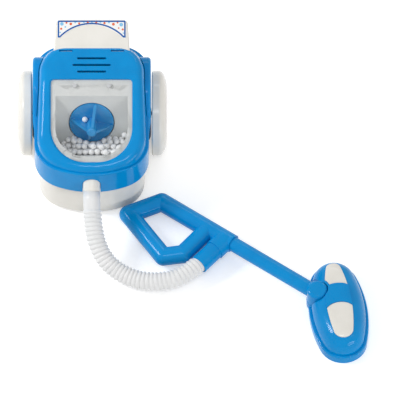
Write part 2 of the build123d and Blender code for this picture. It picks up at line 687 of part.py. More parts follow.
def switch_body():
    middle = SWITCH_X + SWITCH_TRAVEL / 2
    rear = BASE_REAR_Y - WALL - 1.5
    return block((middle - SWITCH_BODY[0] / 2, middle + SWITCH_BODY[0] / 2), (rear - SWITCH_BODY[1], rear),
                 (SWITCH_Z - SWITCH_BODY[2] / 2, SWITCH_Z + SWITCH_BODY[2] / 2))


# Wheels and roller

def wheel_profile(skin):
    """Half section: axial distance from the inner face in X, radius in Y. skin is taken off outside."""
    width = WHEEL_WIDTH - skin
    rim = WHEEL_RADIUS - skin
    shoulder = TREAD_FLAT
    face_radius = rim - SHOULDER_DROP
    inner = Line((0, 0), (0, rim - 1.2))
    lead = ThreePointArc((0, rim - 1.2), (0.35, rim - 0.35), (1.2, rim))
    tread = Line((1.2, rim), (shoulder, rim))
    curve = EllipticalCenterArc((shoulder, face_radius), width - shoulder, SHOULDER_DROP, arc_size=90)
    face = Line((width, face_radius), (width, 0))
    close = Line((width, 0), (0, 0))
    return make_face([inner, lead, tread, curve, face, close])


def wheel(side):
    solid = revolve(Plane.XY * wheel_profile(0), axis=Axis.X)
    hollow = revolve(Plane.XY * wheel_profile(WHEEL_WALL), axis=Axis.X)
    hub = Rot(0, 90, 0) * Pos(0, 0, WHEEL_WIDTH / 2) * Cylinder(5.0, WHEEL_WIDTH - 1)
    body = solid - (hollow - hub)
    for index in range(6):
        spoke = block((1.0, WHEEL_WIDTH - 1), (-0.8, 0.8), (4, WHEEL_RADIUS - SHOULDER_DROP))
        body = body + Rot(index * 60, 0, 0) * spoke
    depth = WHEEL_WIDTH - AXLE_END_WALL
    bore = Rot(0, 90, 0) * Pos(0, 0, depth / 2 - 1) * Cylinder(AXLE_RADIUS, depth + 2)
    body = Pos(WHEEL_INNER_X, 0, WHEEL_RADIUS) * (body - bore)
    return body if side > 0 else mirror(body, about=Plane.YZ)


def axle():
    half = WHEEL_INNER_X + WHEEL_WIDTH - AXLE_END_WALL
    return Pos(0, 0, WHEEL_RADIUS) * Rot(0, 90, 0) * Cylinder(AXLE_RADIUS, 2 * half)


def roller_pin_length():
    return ROLLER_WIDTH + 2 * ROLLER_GAP + 2 * WALL


def roller():
    disc = Rot(0, 90, 0) * Cylinder(ROLLER_RADIUS, ROLLER_WIDTH)
    disc = fillet(disc.edges().filter_by(GeomType.CIRCLE), 1.0)
    disc = disc - Rot(0, 90, 0) * Cylinder(ROLLER_PIN_RADIUS + RUNNING_GAP, ROLLER_WIDTH + 2)
    return Pos(0, ROLLER_Y, ROLLER_RADIUS) * disc


def roller_pin():
    return Pos(0, ROLLER_Y, ROLLER_RADIUS) * Rot(0, 90, 0) * Cylinder(ROLLER_PIN_RADIUS, roller_pin_length())


# Bead box, clear cover and what they hold

def cavity_outline(grow):
    """Side outline of the bead room: leaning back wall, short floor and sloping front wall."""
    lean = tan(radians(BACK_WALL_LEAN))
    floor_back = WALL_TOP.Y - (WALL_TOP.Z - BOX_FLOOR_Z) * lean
    floor_front = floor_back - BOX_FLOOR_LENGTH
    rise = 40.0
    top_back = (WALL_TOP.Y + 12 * lean, WALL_TOP.Z + 12)
    top_front = (floor_front - rise / tan(radians(FRONT_WALL_SLOPE)), BOX_FLOOR_Z + rise)
    points = [top_back, (floor_back, BOX_FLOOR_Z), (floor_front, BOX_FLOOR_Z), top_front]
    face = make_face(Polyline(*points, close=True))
    if grow:
        face = offset(face, grow, kind=Kind.INTERSECTION)
    return extrude(Plane.YZ * face, amount=HALF_WIDTH, both=True)


def cavity_face(grow):
    width = 2 * (CAVITY_HALF + grow)
    height = CAVITY_HIGH - CAVITY_LOW + 2 * grow
    face = Pos(0, (CAVITY_LOW + CAVITY_HIGH) / 2) * Rectangle(width, height)
    face = fillet(face.vertices().sort_by(Axis.Y)[:2], CAVITY_CORNER + grow)
    return fillet(face.vertices().sort_by(Axis.Y)[-2:], 2.0 + grow)


def cavity(grow, top):
    reach = extrude(WINDOW * Pos(0, 0, top - 70) * cavity_face(grow), amount=70)
    return reach & cavity_outline(grow)


def bead_box():
    body = cavity(BOX_WALL, -WALL)
    flange = extrude(WINDOW * Pos(0, 0, -WALL - BOX_WALL) * d_face(FLANGE_MARGIN), amount=BOX_WALL)
    body = body + (flange & hood_block(WALL))
    cup = rod(FAN, WELL_RADIUS + WALL, -WELL_DEPTH - WALL, 0)
    body = body + cup - cavity(0, 5)
    body = body - rod(FAN, WELL_RADIUS, -WELL_DEPTH, 2) - rod(FAN, 3.2, -WELL_DEPTH - WALL - 1, 0)
    for side in (1, -1):
        body = body - rod(WINDOW, 0.9, -WALL - BOX_WALL - 1, 0, side * COVER_SCREW_X, COVER_SCREW_V)
        body = body - rod(FAN, SCREW_RADIUS - 0.3, -WELL_DEPTH - WALL - 1, -WELL_DEPTH - 0.3, side * 14.0, 0)
    return body


def window_cover():
    plate = extrude(WINDOW * Pos(0, 0, -WALL) * d_face(-COVER_GAP), amount=COVER_THICK)
    for side in (1, -1):
        plate = plate - rod(WINDOW, 1.0, -WALL - 1, 0, side * COVER_SCREW_X, COVER_SCREW_V)
    return plate


def cover_screws():
    pieces = []
    for side in (1, -1):
        x = side * COVER_SCREW_X
        top = -WALL + COVER_THICK
        shank = rod(WINDOW, 0.9, -WALL - BOX_WALL, top, x, COVER_SCREW_V)
        pieces.append(shank + rod(WINDOW, 1.6, top, top + 0.5, x, COVER_SCREW_V))
    return pieces


def fan():
    plate = rod(FAN, FAN_RADIUS, -FAN_PLATE - 0.2, -0.2)
    hub = FAN * Pos(0, 0, FAN_HUB_HEIGHT / 2 - 0.2) * Cone(FAN_HUB_ROOT, FAN_HUB_TIP, FAN_HUB_HEIGHT)
    tip = hub.edges().filter_by(GeomType.CIRCLE).sort_by(Axis.Y)[0]
    body = plate + fillet(tip, 1.2)
    rim = FAN_RADIUS - 0.6
    blade = make_face(Polyline((0, -0.4), (rim, -0.4), (rim, 0.4), (FAN_HUB_TIP, FAN_HUB_HEIGHT - 2.4),
                               (0, FAN_HUB_HEIGHT - 2.4), close=True))
    for index in range(FAN_BLADES):
        turn = Rot(0, 0, BLADE_TURN + index * 360 / FAN_BLADES)
        body = body + FAN * turn * extrude(Plane.XZ * blade, amount=BLADE_THICK / 2, both=True)
    body = body + rod(FAN, 2.8, -FAN_PLATE - 2.2, -FAN_PLATE)
    return body - rod(FAN, SHAFT_RADIUS, -FAN_PLATE - 4, FAN_HUB_HEIGHT - 6)


def motor_shaft():
    return rod(FAN, SHAFT_RADIUS, -WELL_DEPTH - WALL - 4, FAN_HUB_HEIGHT - 6)


def motor():
    top = -WELL_DEPTH - WALL
    low = top - MOTOR_LENGTH
    can = rod(FAN, MOTOR_RADIUS, low, top)
    flat = FAN * Pos(0, 0, (low + top) / 2) * Box(3 * MOTOR_RADIUS, MOTOR_FLAT, MOTOR_LENGTH + 2)
    body = (can & flat) + rod(FAN, 3.0, top, top + 1.4) + rod(FAN, 2.6, low - 1.5, low)
    return body - rod(FAN, SHAFT_RADIUS + RUNNING_GAP, top - 5, top + 3)


def motor_clip():
    """Strap round the motor with an ear and a screw on either side."""
    top = -WELL_DEPTH - WALL
    inner = (rod(FAN, MOTOR_RADIUS + 0.1, top - CLIP_WIDTH - 1, top + 1)
             & FAN * Pos(0, 0, top - CLIP_WIDTH / 2) * Box(60, MOTOR_FLAT + 0.2, CLIP_WIDTH + 4))
    outer = (rod(FAN, MOTOR_RADIUS + CLIP_THICK, top - CLIP_WIDTH, top)
             & FAN * Pos(0, 0, top - CLIP_WIDTH / 2) * Box(60, MOTOR_FLAT + 2 * CLIP_THICK, CLIP_WIDTH))
    ears = FAN * Pos(0, 0, top - CLIP_THICK / 2) * Box(34, 6, CLIP_THICK)
    strap = outer + ears - inner
    for side in (1, -1):
        strap = strap - rod(FAN, SCREW_RADIUS, top - 3, top + 1, side * 14.0, 0)
    return strap


def clip_screws():
    top = -WELL_DEPTH - WALL
    pieces = []
    for side in (1, -1):
        head = rod(FAN, 2.0, top - CLIP_THICK - 1.2, top - CLIP_THICK, side * 14.0, 0)
        pieces.append(head + rod(FAN, SCREW_RADIUS - 0.3, top - CLIP_THICK, top + 1.3, side * 14.0, 0))
    return pieces


def bead_limit(y, z):
    """Half width of the bead room at a point of its side outline, less a bead and its clearance."""
    spot = WINDOW.to_local_coords(Vector(0, y, z))
    up = max(spot.Y - CAVITY_LOW, 0.0)
    if up >= CAVITY_CORNER:
        return CAVITY_HALF - BEAD_RADIUS - BEAD_SIDE_GAP
    dip = CAVITY_CORNER - up
    curve = (max(CAVITY_CORNER - BEAD_RADIUS - BEAD_SIDE_GAP, 0) ** 2 - dip ** 2)
    return CAVITY_HALF - CAVITY_CORNER + max(curve, 0) ** 0.5


def swept_by_fan(spot):
    """True where a bead would touch the cone that the turning blades sweep."""
    local = FAN.to_local_coords(spot)
    rim = FAN_RADIUS - 0.6
    taper = rim - FAN_HUB_TIP
    out = (hypot(local.X, local.Y) - rim) * FAN_HUB_HEIGHT + (local.Z - 0.4) * taper
    return out / hypot(FAN_HUB_HEIGHT, taper) < BEAD_RADIUS + 0.4


def beads():
    pieces = []
    reach = int(CAVITY_HALF / BEAD_PITCH) + 1
    for y, z, stagger, start in BEAD_ROWS:
        limit = bead_limit(y, z)
        for index in range(-reach, reach + 1):
            x = (index + stagger) * BEAD_PITCH
            spot = Vector(x, y, z)
            if start <= x and abs(x) <= limit and not swept_by_fan(spot):
                pieces.append(Pos(x, y, z) * Sphere(BEAD_RADIUS))
    return pieces


# Rear grip and label

def grip_face(inset):
    """Grip plate from above its own plane, a little narrower at the rear; it starts well inside the hood."""
    front = -8.0
    points = [(-GRIP_HALF, front), (GRIP_HALF, front), (GRIP_REAR_HALF, GRIP_LENGTH),
              (-GRIP_REAR_HALF, GRIP_LENGTH)]
    face = make_face(Polyline(*points, close=True))
    if inset:
        face = offset(face, -inset, kind=Kind.INTERSECTION)
    return fillet(face.vertices().sort_by(Axis.Y)[-2:], GRIP_CORNER - inset)


def grip():
    tray = extrude(GRIP * Pos(0, 0, -GRIP_DEPTH) * grip_face(0), amount=GRIP_DEPTH)
    top = tray.faces().filter_by(lambda f: abs(f.normal_at().dot(GRIP.z_dir) - 1) < 0.01)[0]
    rim = [e for e in top.edges() if GRIP.to_local_coords(e.center()).Y > -7]
    tray = fillet(rim, GRIP_EDGE)
    room = GRIP * Pos(0, 0, -GRIP_DEPTH - 1) * grip_face(GRIP_WALL)
    tray = tray - extrude(room, amount=GRIP_DEPTH + 1 - GRIP_WALL) - hood_block(0)
    for side in (1, -1):
        tray = tray + grip_tab(side)
    return tray


def grip_tab(side):
    """Tongue that passes through the hood's back and hooks into its clip slot from below."""
    x = (side * CLIP_SLOT_X - GRIP_TAB_WIDTH / 2, side * CLIP_SLOT_X + GRIP_TAB_WIDTH / 2)
    top = CROWN_Z - WALL - GRIP_TAB_GAP
    low = top - GRIP_TAB_THICK
    tip = CLIP_SLOT_Y - CLIP_SLOT_WIDTH / 2 + 0.1
    arm = block(x, (tip, CROWN_Y + 9), (low, top))
    hook = block(x, (tip, tip + 0.8), (low, top + GRIP_TAB_GAP + 0.3))
    root = block(x, (CROWN_Y + 5, CROWN_Y + 9), (low, top + 5))
    return arm + hook + (root - hood_block(0))


def label():
    """Thin film: a bar with two legs under a wide arch."""
    top_y = GRIP_LENGTH - LABEL_MARGIN
    face = Pos(0, top_y - LABEL_HEIGHT / 2) * Rectangle(LABEL_WIDTH, LABEL_HEIGHT)
    face = face - Pos(0, top_y - LABEL_ARCH_TOP - LABEL_ARCH) * Circle(LABEL_ARCH)
    face = fillet(face.vertices().sort_by(Axis.Y)[-2:], 1.2)
    return extrude(GRIP * face, amount=LABEL_THICK)


# Hose connector and hose

def connector_room():
    """Groove behind the band's wall for the connector's flange."""
    return rod(PORT, CONNECTOR_FLANGE_RADIUS + 0.2, -CONNECTOR_IN, -CONNECTOR_IN + CONNECTOR_FLANGE + 1)


def connector():
    tube = rod(PORT, CONNECTOR_RADIUS, -CONNECTOR_IN - 2, CONNECTOR_OUT)
    flange = rod(PORT, CONNECTOR_FLANGE_RADIUS, -CONNECTOR_IN + 0.5, -CONNECTOR_IN + 0.5 + CONNECTOR_FLANGE)
    end = CONNECTOR_OUT + SPIGOT_LENGTH
    tail = rod(PORT, SPIGOT_RADIUS, CONNECTOR_OUT, end)
    return tube + flange + tail - rod(PORT, SPIGOT_RADIUS - 1.3, -CONNECTOR_IN - 3, end + 1)


def hose_points():
    """Route of the hose's centre line from the connector's shoulder to the wand's socket."""
    start = PORT.from_local_coords(Vector(0, 0, CONNECTOR_OUT))
    first = PORT.from_local_coords(Vector(0, 0, CONNECTOR_OUT + HOSE_START_RUN))
    seat = SOCKET_LENGTH - SOCKET_DEPTH
    end = (SOCKET * Pos(0, -seat, 0)).position
    last = (SOCKET * Pos(0, -seat - HOSE_END_RUN, 0)).position
    return [start, first] + [Vector(*p) for p in HOSE_ROUTE] + [last, end]


def hose_radii(points):
    """Bend radius at each corner: 0.45 of the shorter run, over the tangent of half the turn."""
    radii = []
    for before, here, after in zip(points, points[1:], points[2:]):
        first, second = here - before, after - here
        half_turn = radians(first.get_angle(second)) / 2
        radii.append(0.45 * min(first.length, second.length) / tan(half_turn))
    return radii


def hose_line():
    points = hose_points()
    return FilletPolyline(*points, radius=hose_radii(points))


def ring(line, distance, radius):
    """Circle square to the hose, with its X axis held level."""
    at = distance / line.length
    normal = line.tangent_at(at)
    level = Vector(0, 0, 1).cross(normal).normalized()
    return Plane(origin=line.position_at(at), x_dir=level, z_dir=normal) * Circle(radius)


def hose():
    line = hose_line()
    length = line.length
    ribbed = length - HOSE_CUFF - HOSE_END_CUFF
    pitch = ribbed / RIB_COUNT
    root, crest = HOSE_ROOT_RADIUS, HOSE_RADIUS
    stations = [(0.0, root)]
    for index in range(RIB_COUNT):
        start = HOSE_CUFF + index * pitch
        for share, radius in ((0.0, root), (0.25, crest), (0.6, crest), (0.85, root)):
            stations.append((start + share * pitch, radius))
    stations.append((length, root))
    skin = loft([ring(line, distance, radius) for distance, radius in stations], ruled=True)
    bore = loft([ring(line, distance, HOSE_BORE) for distance, _ in stations], ruled=True)
    return skin - bore


# Wand

def handle_form(inset):
    """Round bars in the wand's frame: the loop, the straight bar and the root of the hose socket."""
    radius = BAR / 2 - inset
    corners = [Vector(s, w, 0) for s, w in LOOP]
    body = Pos((GRIP_END_S - inset) / 2, 0, 0) * Rot(0, 90, 0) * Cylinder(radius, GRIP_END_S - inset)
    for corner, after in zip(corners, corners[1:] + corners[:1]):
        length = (after - corner).length
        bar = Pos(0, 0, length / 2) * Cylinder(radius, length)
        body = body + Plane(origin=corner, z_dir=after - corner) * bar + Pos(*corner) * Sphere(radius)
    depth = ROOT_LENGTH - inset
    root = Rot(90, 0, 0) * Pos(0, 0, depth / 2) * Cylinder(ROOT_HALF - inset, depth)
    return body + Pos(SOCKET_S, 0, 0) * Rot(0, 0, -SOCKET_TILT) * root


def handle_solid():
    body = handle_form(0) - handle_form(BAR_WALL)
    half = BAR / 2 - BAR_WALL
    for s, w in HANDLE_SCREWS:
        body = body + upright(HANDLE_POST_RADIUS, s, w, -half - 0.5, half + 0.5)
    hole = Cylinder(WAND_SPIGOT_RADIUS + 0.05, 2 * WAND_SPIGOT_REACH + 0.6)
    turn = Pos(SOCKET_S, 0, 0) * Rot(0, 0, -SOCKET_TILT)
    body = body - Pos(GRIP_END_S, 0, 0) * Rot(0, 90, 0) * hole
    body = body - Pos(GRIP_END_S + BAR, 0, 0) * Rot(0, 90, 0) * Cylinder(WAND_RADIUS + 0.05, 2 * BAR)
    return body - turn * Pos(0, -ROOT_LENGTH, 0) * Rot(90, 0, 0) * hole


def handle_half(side):
    """Upper or lower half of the handle, split at the wand's mid plane."""
    body = handle_solid() & (Pos(0, 0, side * BAR) * Box(400, 400, 2 * BAR))
    for s, w in HANDLE_SCREWS:
        if side < 0:
            body = body - upright(SCREW_BORE, s, w, -BAR, 1)
            body = body - upright(SCREW_HEAD_RADIUS - 0.3, s, w, -BAR, -BAR / 2 + 3.0)
        else:
            body = body - upright(SCREW_RADIUS - 0.2, s, w, -1, 4.4)
    return WAND * body


def handle_screws():
    pieces = []
    for s, w in HANDLE_SCREWS:
        low = -BAR / 2 + 3.0
        head = upright(SCREW_HEAD_RADIUS - 0.4, s, w, low - 1.5, low)
        slot = block((s - 1.6, s + 1.6), (w - 0.3, w + 0.3), (low - 3, low - 0.9))
        pieces.append(WAND * (head - slot + upright(SCREW_RADIUS - 0.2, s, w, low, 4.0)))
    return pieces


def along_wand(radius, low, high):
    return WAND * Pos((low + high) / 2, 0, 0) * Rot(0, 90, 0) * Cylinder(radius, high - low)


def along_socket(radius, low, high):
    """Cylinder on the socket's axis between two distances from the wand's axis."""
    return SOCKET * Pos(0, -(low + high) / 2, 0) * Rot(90, 0, 0) * Cylinder(radius, high - low)


def hose_socket():
    body = along_socket(SOCKET_RADIUS, ROOT_LENGTH, SOCKET_LENGTH)
    rim = body.edges().filter_by(GeomType.CIRCLE).sort_by(Axis.Y)[0]
    body = fillet(rim, 0.4) + along_socket(WAND_SPIGOT_RADIUS, ROOT_LENGTH - WAND_SPIGOT_REACH, ROOT_LENGTH)
    seat = SOCKET_LENGTH - SOCKET_DEPTH
    body = body - along_socket(HOSE_ROOT_RADIUS + SOCKET_CLEARANCE, seat, SOCKET_LENGTH + 1)
    return body - along_socket(SOCKET_BORE, ROOT_LENGTH - WAND_SPIGOT_REACH - 1, SOCKET_LENGTH)


def wand_tube():
    body = along_wand(WAND_RADIUS, GRIP_END_S, WAND_END_S)
    body = body + along_wand(WAND_SPIGOT_RADIUS, GRIP_END_S - WAND_SPIGOT_REACH, GRIP_END_S)
    body = body + along_wand(WAND_SPIGOT_RADIUS, WAND_END_S, WAND_END_S + WAND_TIP)
    return body - along_wand(SOCKET_BORE, GRIP_END_S - WAND_SPIGOT_REACH - 1, WAND_END_S + WAND_TIP + 1)


# Neck and nozzle

def knuckle(grow):
    return upright(KNUCKLE_RADIUS + grow, PIVOT.X, PIVOT.Y, KNUCKLE_LOW_Z - grow, KNUCKLE_TOP_Z + grow)


def neck():
    body = along_wand(COLLAR_RADIUS, COLLAR_START_S, PIVOT_S)
    rim = body.edges().filter_by(GeomType.CIRCLE).sort_by(Axis.X)[0]
    drum = knuckle(0)
    body = fillet(rim, 0.8) + fillet(drum.edges().sort_by(Axis.Z)[-1], KNUCKLE_EDGE)
    body = body + upright(PIVOT_PIN_RADIUS, PIVOT.X, PIVOT.Y, SOLE_THICK + 0.6, PIVOT.Z)
    body = body - along_wand(WAND_RADIUS + 0.06, PIVOT_S - 20, COLLAR_START_S)
    return body - along_wand(WAND_SPIGOT_RADIUS + 0.06, COLLAR_START_S - 1, WAND_END_S + WAND_TIP + 0.5)


def dome_block(grow):
    """Solid of the nozzle's outer form; a negative grow gives an inner form."""
    bow = NOZZLE_SIDE_BOW + grow
    face = oval(NOZZLE_HALF_LENGTH + grow, NOZZLE_HALF_WIDTH + grow, bow)
    skirt = extrude(face, amount=SKIRT_HEIGHT + grow)
    top = skirt.faces().sort_by(Axis.Z)[-1]
    skirt = fillet(top.edges(), SKIRT_EDGE)
    rise = grow - SKIRT_STEP
    face = oval(NOZZLE_HALF_LENGTH + rise, NOZZLE_HALF_WIDTH + rise, NOZZLE_SIDE_BOW + rise)
    dome = extrude(face, amount=DOME_HEIGHT + grow)
    crown = dome.faces().sort_by(Axis.Z)[-1]
    return skirt + fillet(crown.edges(), DOME_EDGE + grow)


def insert_prism(grow):
    """Upright prism over the outline of the two inserts and the saddle between them."""
    tail, left, wide, right, nose = INSERT_PROFILE
    arcs = [ThreePointArc(*[(u, side * (half + grow)) for u, half in (left, wide, right)]) for side in (1, -1)]
    for (u, half), peak in ((left, tail[0] - grow), (right, nose[0] + grow)):
        arcs.append(ThreePointArc((u, half + grow), (peak, 0), (u, -half - grow)))
    face = fillet(make_face(arcs).vertices(), INSERT_CORNER)
    return Pos(0, 0, DOME_HEIGHT - 12) * extrude(face, amount=30)


def saddle_band(grow):
    """Upright band across the inserts, between two bowed lines."""
    front = Pos(SADDLE_FRONT_U + SADDLE_FRONT_BOW, 0) * Circle(SADDLE_FRONT_BOW + grow)
    rear = Pos(SADDLE_REAR_U + SADDLE_REAR_BOW, 0) * Circle(SADDLE_REAR_BOW - grow)
    length = SADDLE_REAR_U - SADDLE_FRONT_U + 24
    window = Rectangle(length, 2 * SADDLE_REAR_BOW - 3)
    face = (front & Pos((SADDLE_FRONT_U + SADDLE_REAR_U) / 2, 0) * window) - rear
    return extrude(face, amount=DOME_HEIGHT + 20)


def nozzle_posts():
    """Two screw posts from the sole up into the shell's top."""
    room = dome_block(-NOZZLE_WALL / 2)
    return [upright(NOZZLE_POST_RADIUS, side * NOZZLE_POST_U, 0, SOLE_THICK, DOME_HEIGHT) & room
            for side in (1, -1)]


def collar_sweep(grow):
    """Room for the knuckle and collar at rest and at both ends of the neck's swing, in world places."""
    room = knuckle(grow)
    for swing in (-NECK_SWING, -NECK_SWING / 2, 0, NECK_SWING / 2, NECK_SWING):
        turn = Pos(*PIVOT) * Rot(0, 0, swing) * Pos(*(-PIVOT))
        room = room + turn * along_wand(COLLAR_RADIUS + grow, PIVOT_S - 30, PIVOT_S)
    return room


def nozzle_shell():
    """Hollow dome with a lined pocket for the knuckle, and a raised saddle between the inserts."""
    body = dome_block(0) - dome_block(-NOZZLE_WALL)
    body = body - ((insert_prism(0) - saddle_band(0)) - dome_block(-INSERT_THICK))
    saddle = (dome_block(SADDLE_RAISE) - dome_block(-INSERT_THICK)) & insert_prism(0) & saddle_band(0)
    body = body + saddle
    for post in nozzle_posts():
        body = body + post
    for side in (1, -1):
        body = body - upright(SCREW_RADIUS - 0.1, side * NOZZLE_POST_U, 0, 0, SOLE_THICK + 9)
    body = NOZZLE * (body - block((-99, 99), (-99, 99), (-5, 0)))
    lining = collar_sweep(KNUCKLE_GAP + KNUCKLE_LINING) & (NOZZLE * dome_block(0))
    hub = upright(KNUCKLE_RADIUS + HUB_LIP, PIVOT.X, PIVOT.Y, HUB_LOW_Z, KNUCKLE_LOW_Z)
    body = body + lining + (hub - NOZZLE * dome_block(-NOZZLE_WALL)) - collar_sweep(KNUCKLE_GAP)
    return body - upright(PIVOT_PIN_RADIUS + KNUCKLE_GAP, PIVOT.X, PIVOT.Y, 0, PIVOT.Z)


def inserts():
    """Front and rear insert: plates that follow the dome, a little proud of it, with softened rims."""
    layer = (dome_block(INSERT_RAISE) - dome_block(-INSERT_THICK)) & insert_prism(-INSERT_GAP)
    layer = layer - saddle_band(INSERT_GAP)
    rims = rim_edges(layer.faces().filter_by(lambda f: f.normal_at().Z > 0.5))
    pieces = fillet(rims, INSERT_EDGE).solids().sort_by(Axis.X)
    room = collar_sweep(KNUCKLE_GAP + KNUCKLE_LINING + INSERT_GAP)
    return [(NOZZLE * piece) - room for piece in (pieces[0], pieces[-1])]


def sole():
    inset = NOZZLE_WALL + SOLE_GAP
    plate = extrude(oval(NOZZLE_HALF_LENGTH - inset, NOZZLE_HALF_WIDTH - inset, NOZZLE_SIDE_BOW - inset),
                    amount=SOLE_THICK)
    slot = extrude(SlotOverall(SOLE_SLOT_LENGTH, SOLE_SLOT_WIDTH), amount=9, both=True)
    plate = plate - Pos(0, SOLE_SLOT_W, 0) * slot
    boss = upright(PIVOT_BOSS_RADIUS, PIVOT_U, PIVOT_W, 0, SKIRT_HEIGHT - inset)
    plate = plate + (boss & dome_block(-inset))
    for side in (1, -1):
        plate = plate - upright(SCREW_RADIUS, side * NOZZLE_POST_U, 0, -1, 9)
        plate = plate - upright(SOLE_HEAD_RADIUS + 0.1, side * NOZZLE_POST_U, 0, -1, SOLE_HEAD_TOP)
    socket = upright(PIVOT_PIN_RADIUS + RUNNING_GAP, PIVOT.X, PIVOT.Y, SOLE_THICK + 0.4, PIVOT.Z)
    return NOZZLE * plate - socket


def nozzle_screws():
    pieces = []
    for side in (1, -1):
        u = side * NOZZLE_POST_U
        body = upright(SOLE_HEAD_RADIUS, u, 0, SOLE_HEAD_TOP - 0.6, SOLE_HEAD_TOP)
        body = body + upright(SCREW_RADIUS - 0.1, u, 0, SOLE_HEAD_TOP, SOLE_THICK + 7)
        pieces.append(NOZZLE * body)
    return pieces


# Fasteners of the body

def housing_screws():
    return [screw(x, y, SCREW_HEAD_Z, SCREW_TIP_Z) for x in (POST_X, -POST_X) for y in POST_YS]


CORD_NODES = ("ribbed_hose",)


def all_nodes():
    """Every sub-part by name, as a solid or a list of separate solids."""
    front_insert, rear_insert = inserts()
    right_wheel, left_wheel = sides_of(wheel)
    right_contact, left_contact = sides_of(contact)
    return {
        "base_housing": base(),
        "middle_band": band(),
        "hood": hood(),
        "rear_grip": grip(),
        "grip_label": label(),
        "bead_box": bead_box(),
        "window_cover": window_cover(),
        "window_screws": cover_screws(),
        "foam_beads": beads(),
        "fan_disc": fan(),
        "motor_shaft": motor_shaft(),
        "motor": motor(),
        "motor_clip": motor_clip(),
        "motor_clip_screws": clip_screws(),
        "right_wheel": right_wheel,
        "left_wheel": left_wheel,
        "wheel_axle": axle(),
        "front_roller": roller(),
        "front_roller_pin": roller_pin(),
        "batteries": [battery(1), battery(-1)],
        "right_battery_contact": right_contact,
        "left_battery_contact": left_contact,
        "battery_door": battery_door(),
        "battery_door_screw": door_screw(),
        "switch_knob": switch_knob(),
        "switch_body": switch_body(),
        "housing_screws": housing_screws(),
        "hose_connector": connector(),
        "ribbed_hose": hose(),
        "hose_socket": hose_socket(),
        "handle_upper_half": handle_half(1),
        "handle_lower_half": handle_half(-1),
        "handle_screws": handle_screws(),
        "wand_tube": wand_tube(),
        "neck_ball": neck(),
        "nozzle_shell": nozzle_shell(),
        "nozzle_sole": sole(),
        "nozzle_front_insert": front_insert,
        "nozzle_rear_insert": rear_insert,
        "nozzle_screws": nozzle_screws(),
    }


def as_list(shape):
    return shape if isinstance(shape, list) else [shape]


def origin_shift(nodes):
    """Move that puts the bottom centre of the object, without its free hose, at the origin."""
    boxes = [piece.bounding_box() for name, shape in nodes.items() if name not in CORD_NODES
             for piece in as_list(shape)]
    low_x, high_x = min(b.min.X for b in boxes), max(b.max.X for b in boxes)
    low_y, high_y = min(b.min.Y for b in boxes), max(b.max.Y for b in boxes)
    return Pos(-(low_x + high_x) / 2, -(low_y + high_y) / 2, 0)


def place_all():
    nodes = all_nodes()
    shift = origin_shift(nodes)
    placed = {}
    for name, shape in nodes.items():
        solids = [shift * solid for piece in as_list(shape) for solid in piece.solids()]
        placed[name] = solids[0] if len(solids) == 1 else Compound(children=solids)
    return placed, shift


def main():
    os.makedirs("parts", exist_ok=True)
    placed, _ = place_all()
    for name, shape in placed.items():
        export_step(shape, f"parts/{name}.step")
    points = hose_points()
    line = hose_line()
    print("hose length", round(line.length, 1), "radii", [round(r, 1) for r in hose_radii(points)])
    tube_area = pi * (HOSE_ROOT_RADIUS ** 2 - HOSE_BORE ** 2)
    print("hose volume", round(placed["ribbed_hose"].volume), "plain tube", round(tube_area * line.length))


if __name__ == "__main__":
    main()
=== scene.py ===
import math
import random

import bmesh
import bpy
import numpy as np
from mathutils import Matrix, Vector


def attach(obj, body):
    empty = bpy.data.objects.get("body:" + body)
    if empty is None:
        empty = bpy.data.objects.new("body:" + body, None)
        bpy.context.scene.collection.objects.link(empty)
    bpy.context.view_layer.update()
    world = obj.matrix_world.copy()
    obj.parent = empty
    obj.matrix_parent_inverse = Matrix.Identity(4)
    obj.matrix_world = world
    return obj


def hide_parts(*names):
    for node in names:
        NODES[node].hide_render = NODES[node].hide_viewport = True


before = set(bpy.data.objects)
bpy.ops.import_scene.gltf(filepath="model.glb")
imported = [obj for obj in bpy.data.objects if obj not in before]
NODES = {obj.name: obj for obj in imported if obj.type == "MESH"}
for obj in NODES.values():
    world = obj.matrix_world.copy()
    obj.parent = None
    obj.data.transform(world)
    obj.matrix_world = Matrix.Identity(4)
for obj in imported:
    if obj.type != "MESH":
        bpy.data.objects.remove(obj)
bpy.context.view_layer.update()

# Places below are in millimetres from the floor under the middle of the wheel axle.
ORIGIN = Vector((-0.072335, 0.076147, 0.0))


def at(x, y, z):
    return Vector((x, y, z)) / 1000 + ORIGIN


def tint(red, green, blue):
    """Colour given as screen values from 0 to 255."""
    out = []
    for value in (red, green, blue):
        v = value / 255
        out.append(v / 12.92 if v <= 0.04045 else ((v + 0.055) / 1.055) ** 2.4)
    return (*out, 1.0)


# Camera

CAMERA_TARGET = (77.8, -54.75, 0.0)
CAMERA_RISE = math.radians(57.0)
CAMERA_DISTANCE = 12.5
FRAME_WIDTH = 0.288
SENSOR_WIDTH = 36.0


def photo_camera():
    """Long lens looking down on the set from the front."""
    target = at(*CAMERA_TARGET)
    away = Vector((0, -math.cos(CAMERA_RISE), math.sin(CAMERA_RISE)))
    data = bpy.data.cameras.new("photo_camera")
    camera = bpy.data.objects.new("photo_camera", data)
    bpy.context.scene.collection.objects.link(camera)
    camera.location = target + away * CAMERA_DISTANCE
    camera.rotation_euler = (math.pi / 2 - CAMERA_RISE, 0, 0)
    data.sensor_width = SENSOR_WIDTH
    data.lens = SENSOR_WIDTH * CAMERA_DISTANCE / FRAME_WIDTH
    data.clip_end = 40
    bpy.context.scene.camera = camera


photo_camera()


# Shader effects that several finishes share

def new_group(name, inputs, outputs):
    group = bpy.data.node_groups.new(name, "ShaderNodeTree")
    for label, kind, value in inputs:
        socket = group.interface.new_socket(label, in_out="INPUT", socket_type=kind)
        socket.default_value = value
    for label, kind in outputs:
        group.interface.new_socket(label, in_out="OUTPUT", socket_type=kind)
    return group, group.nodes.new("NodeGroupInput"), group.nodes.new("NodeGroupOutput")


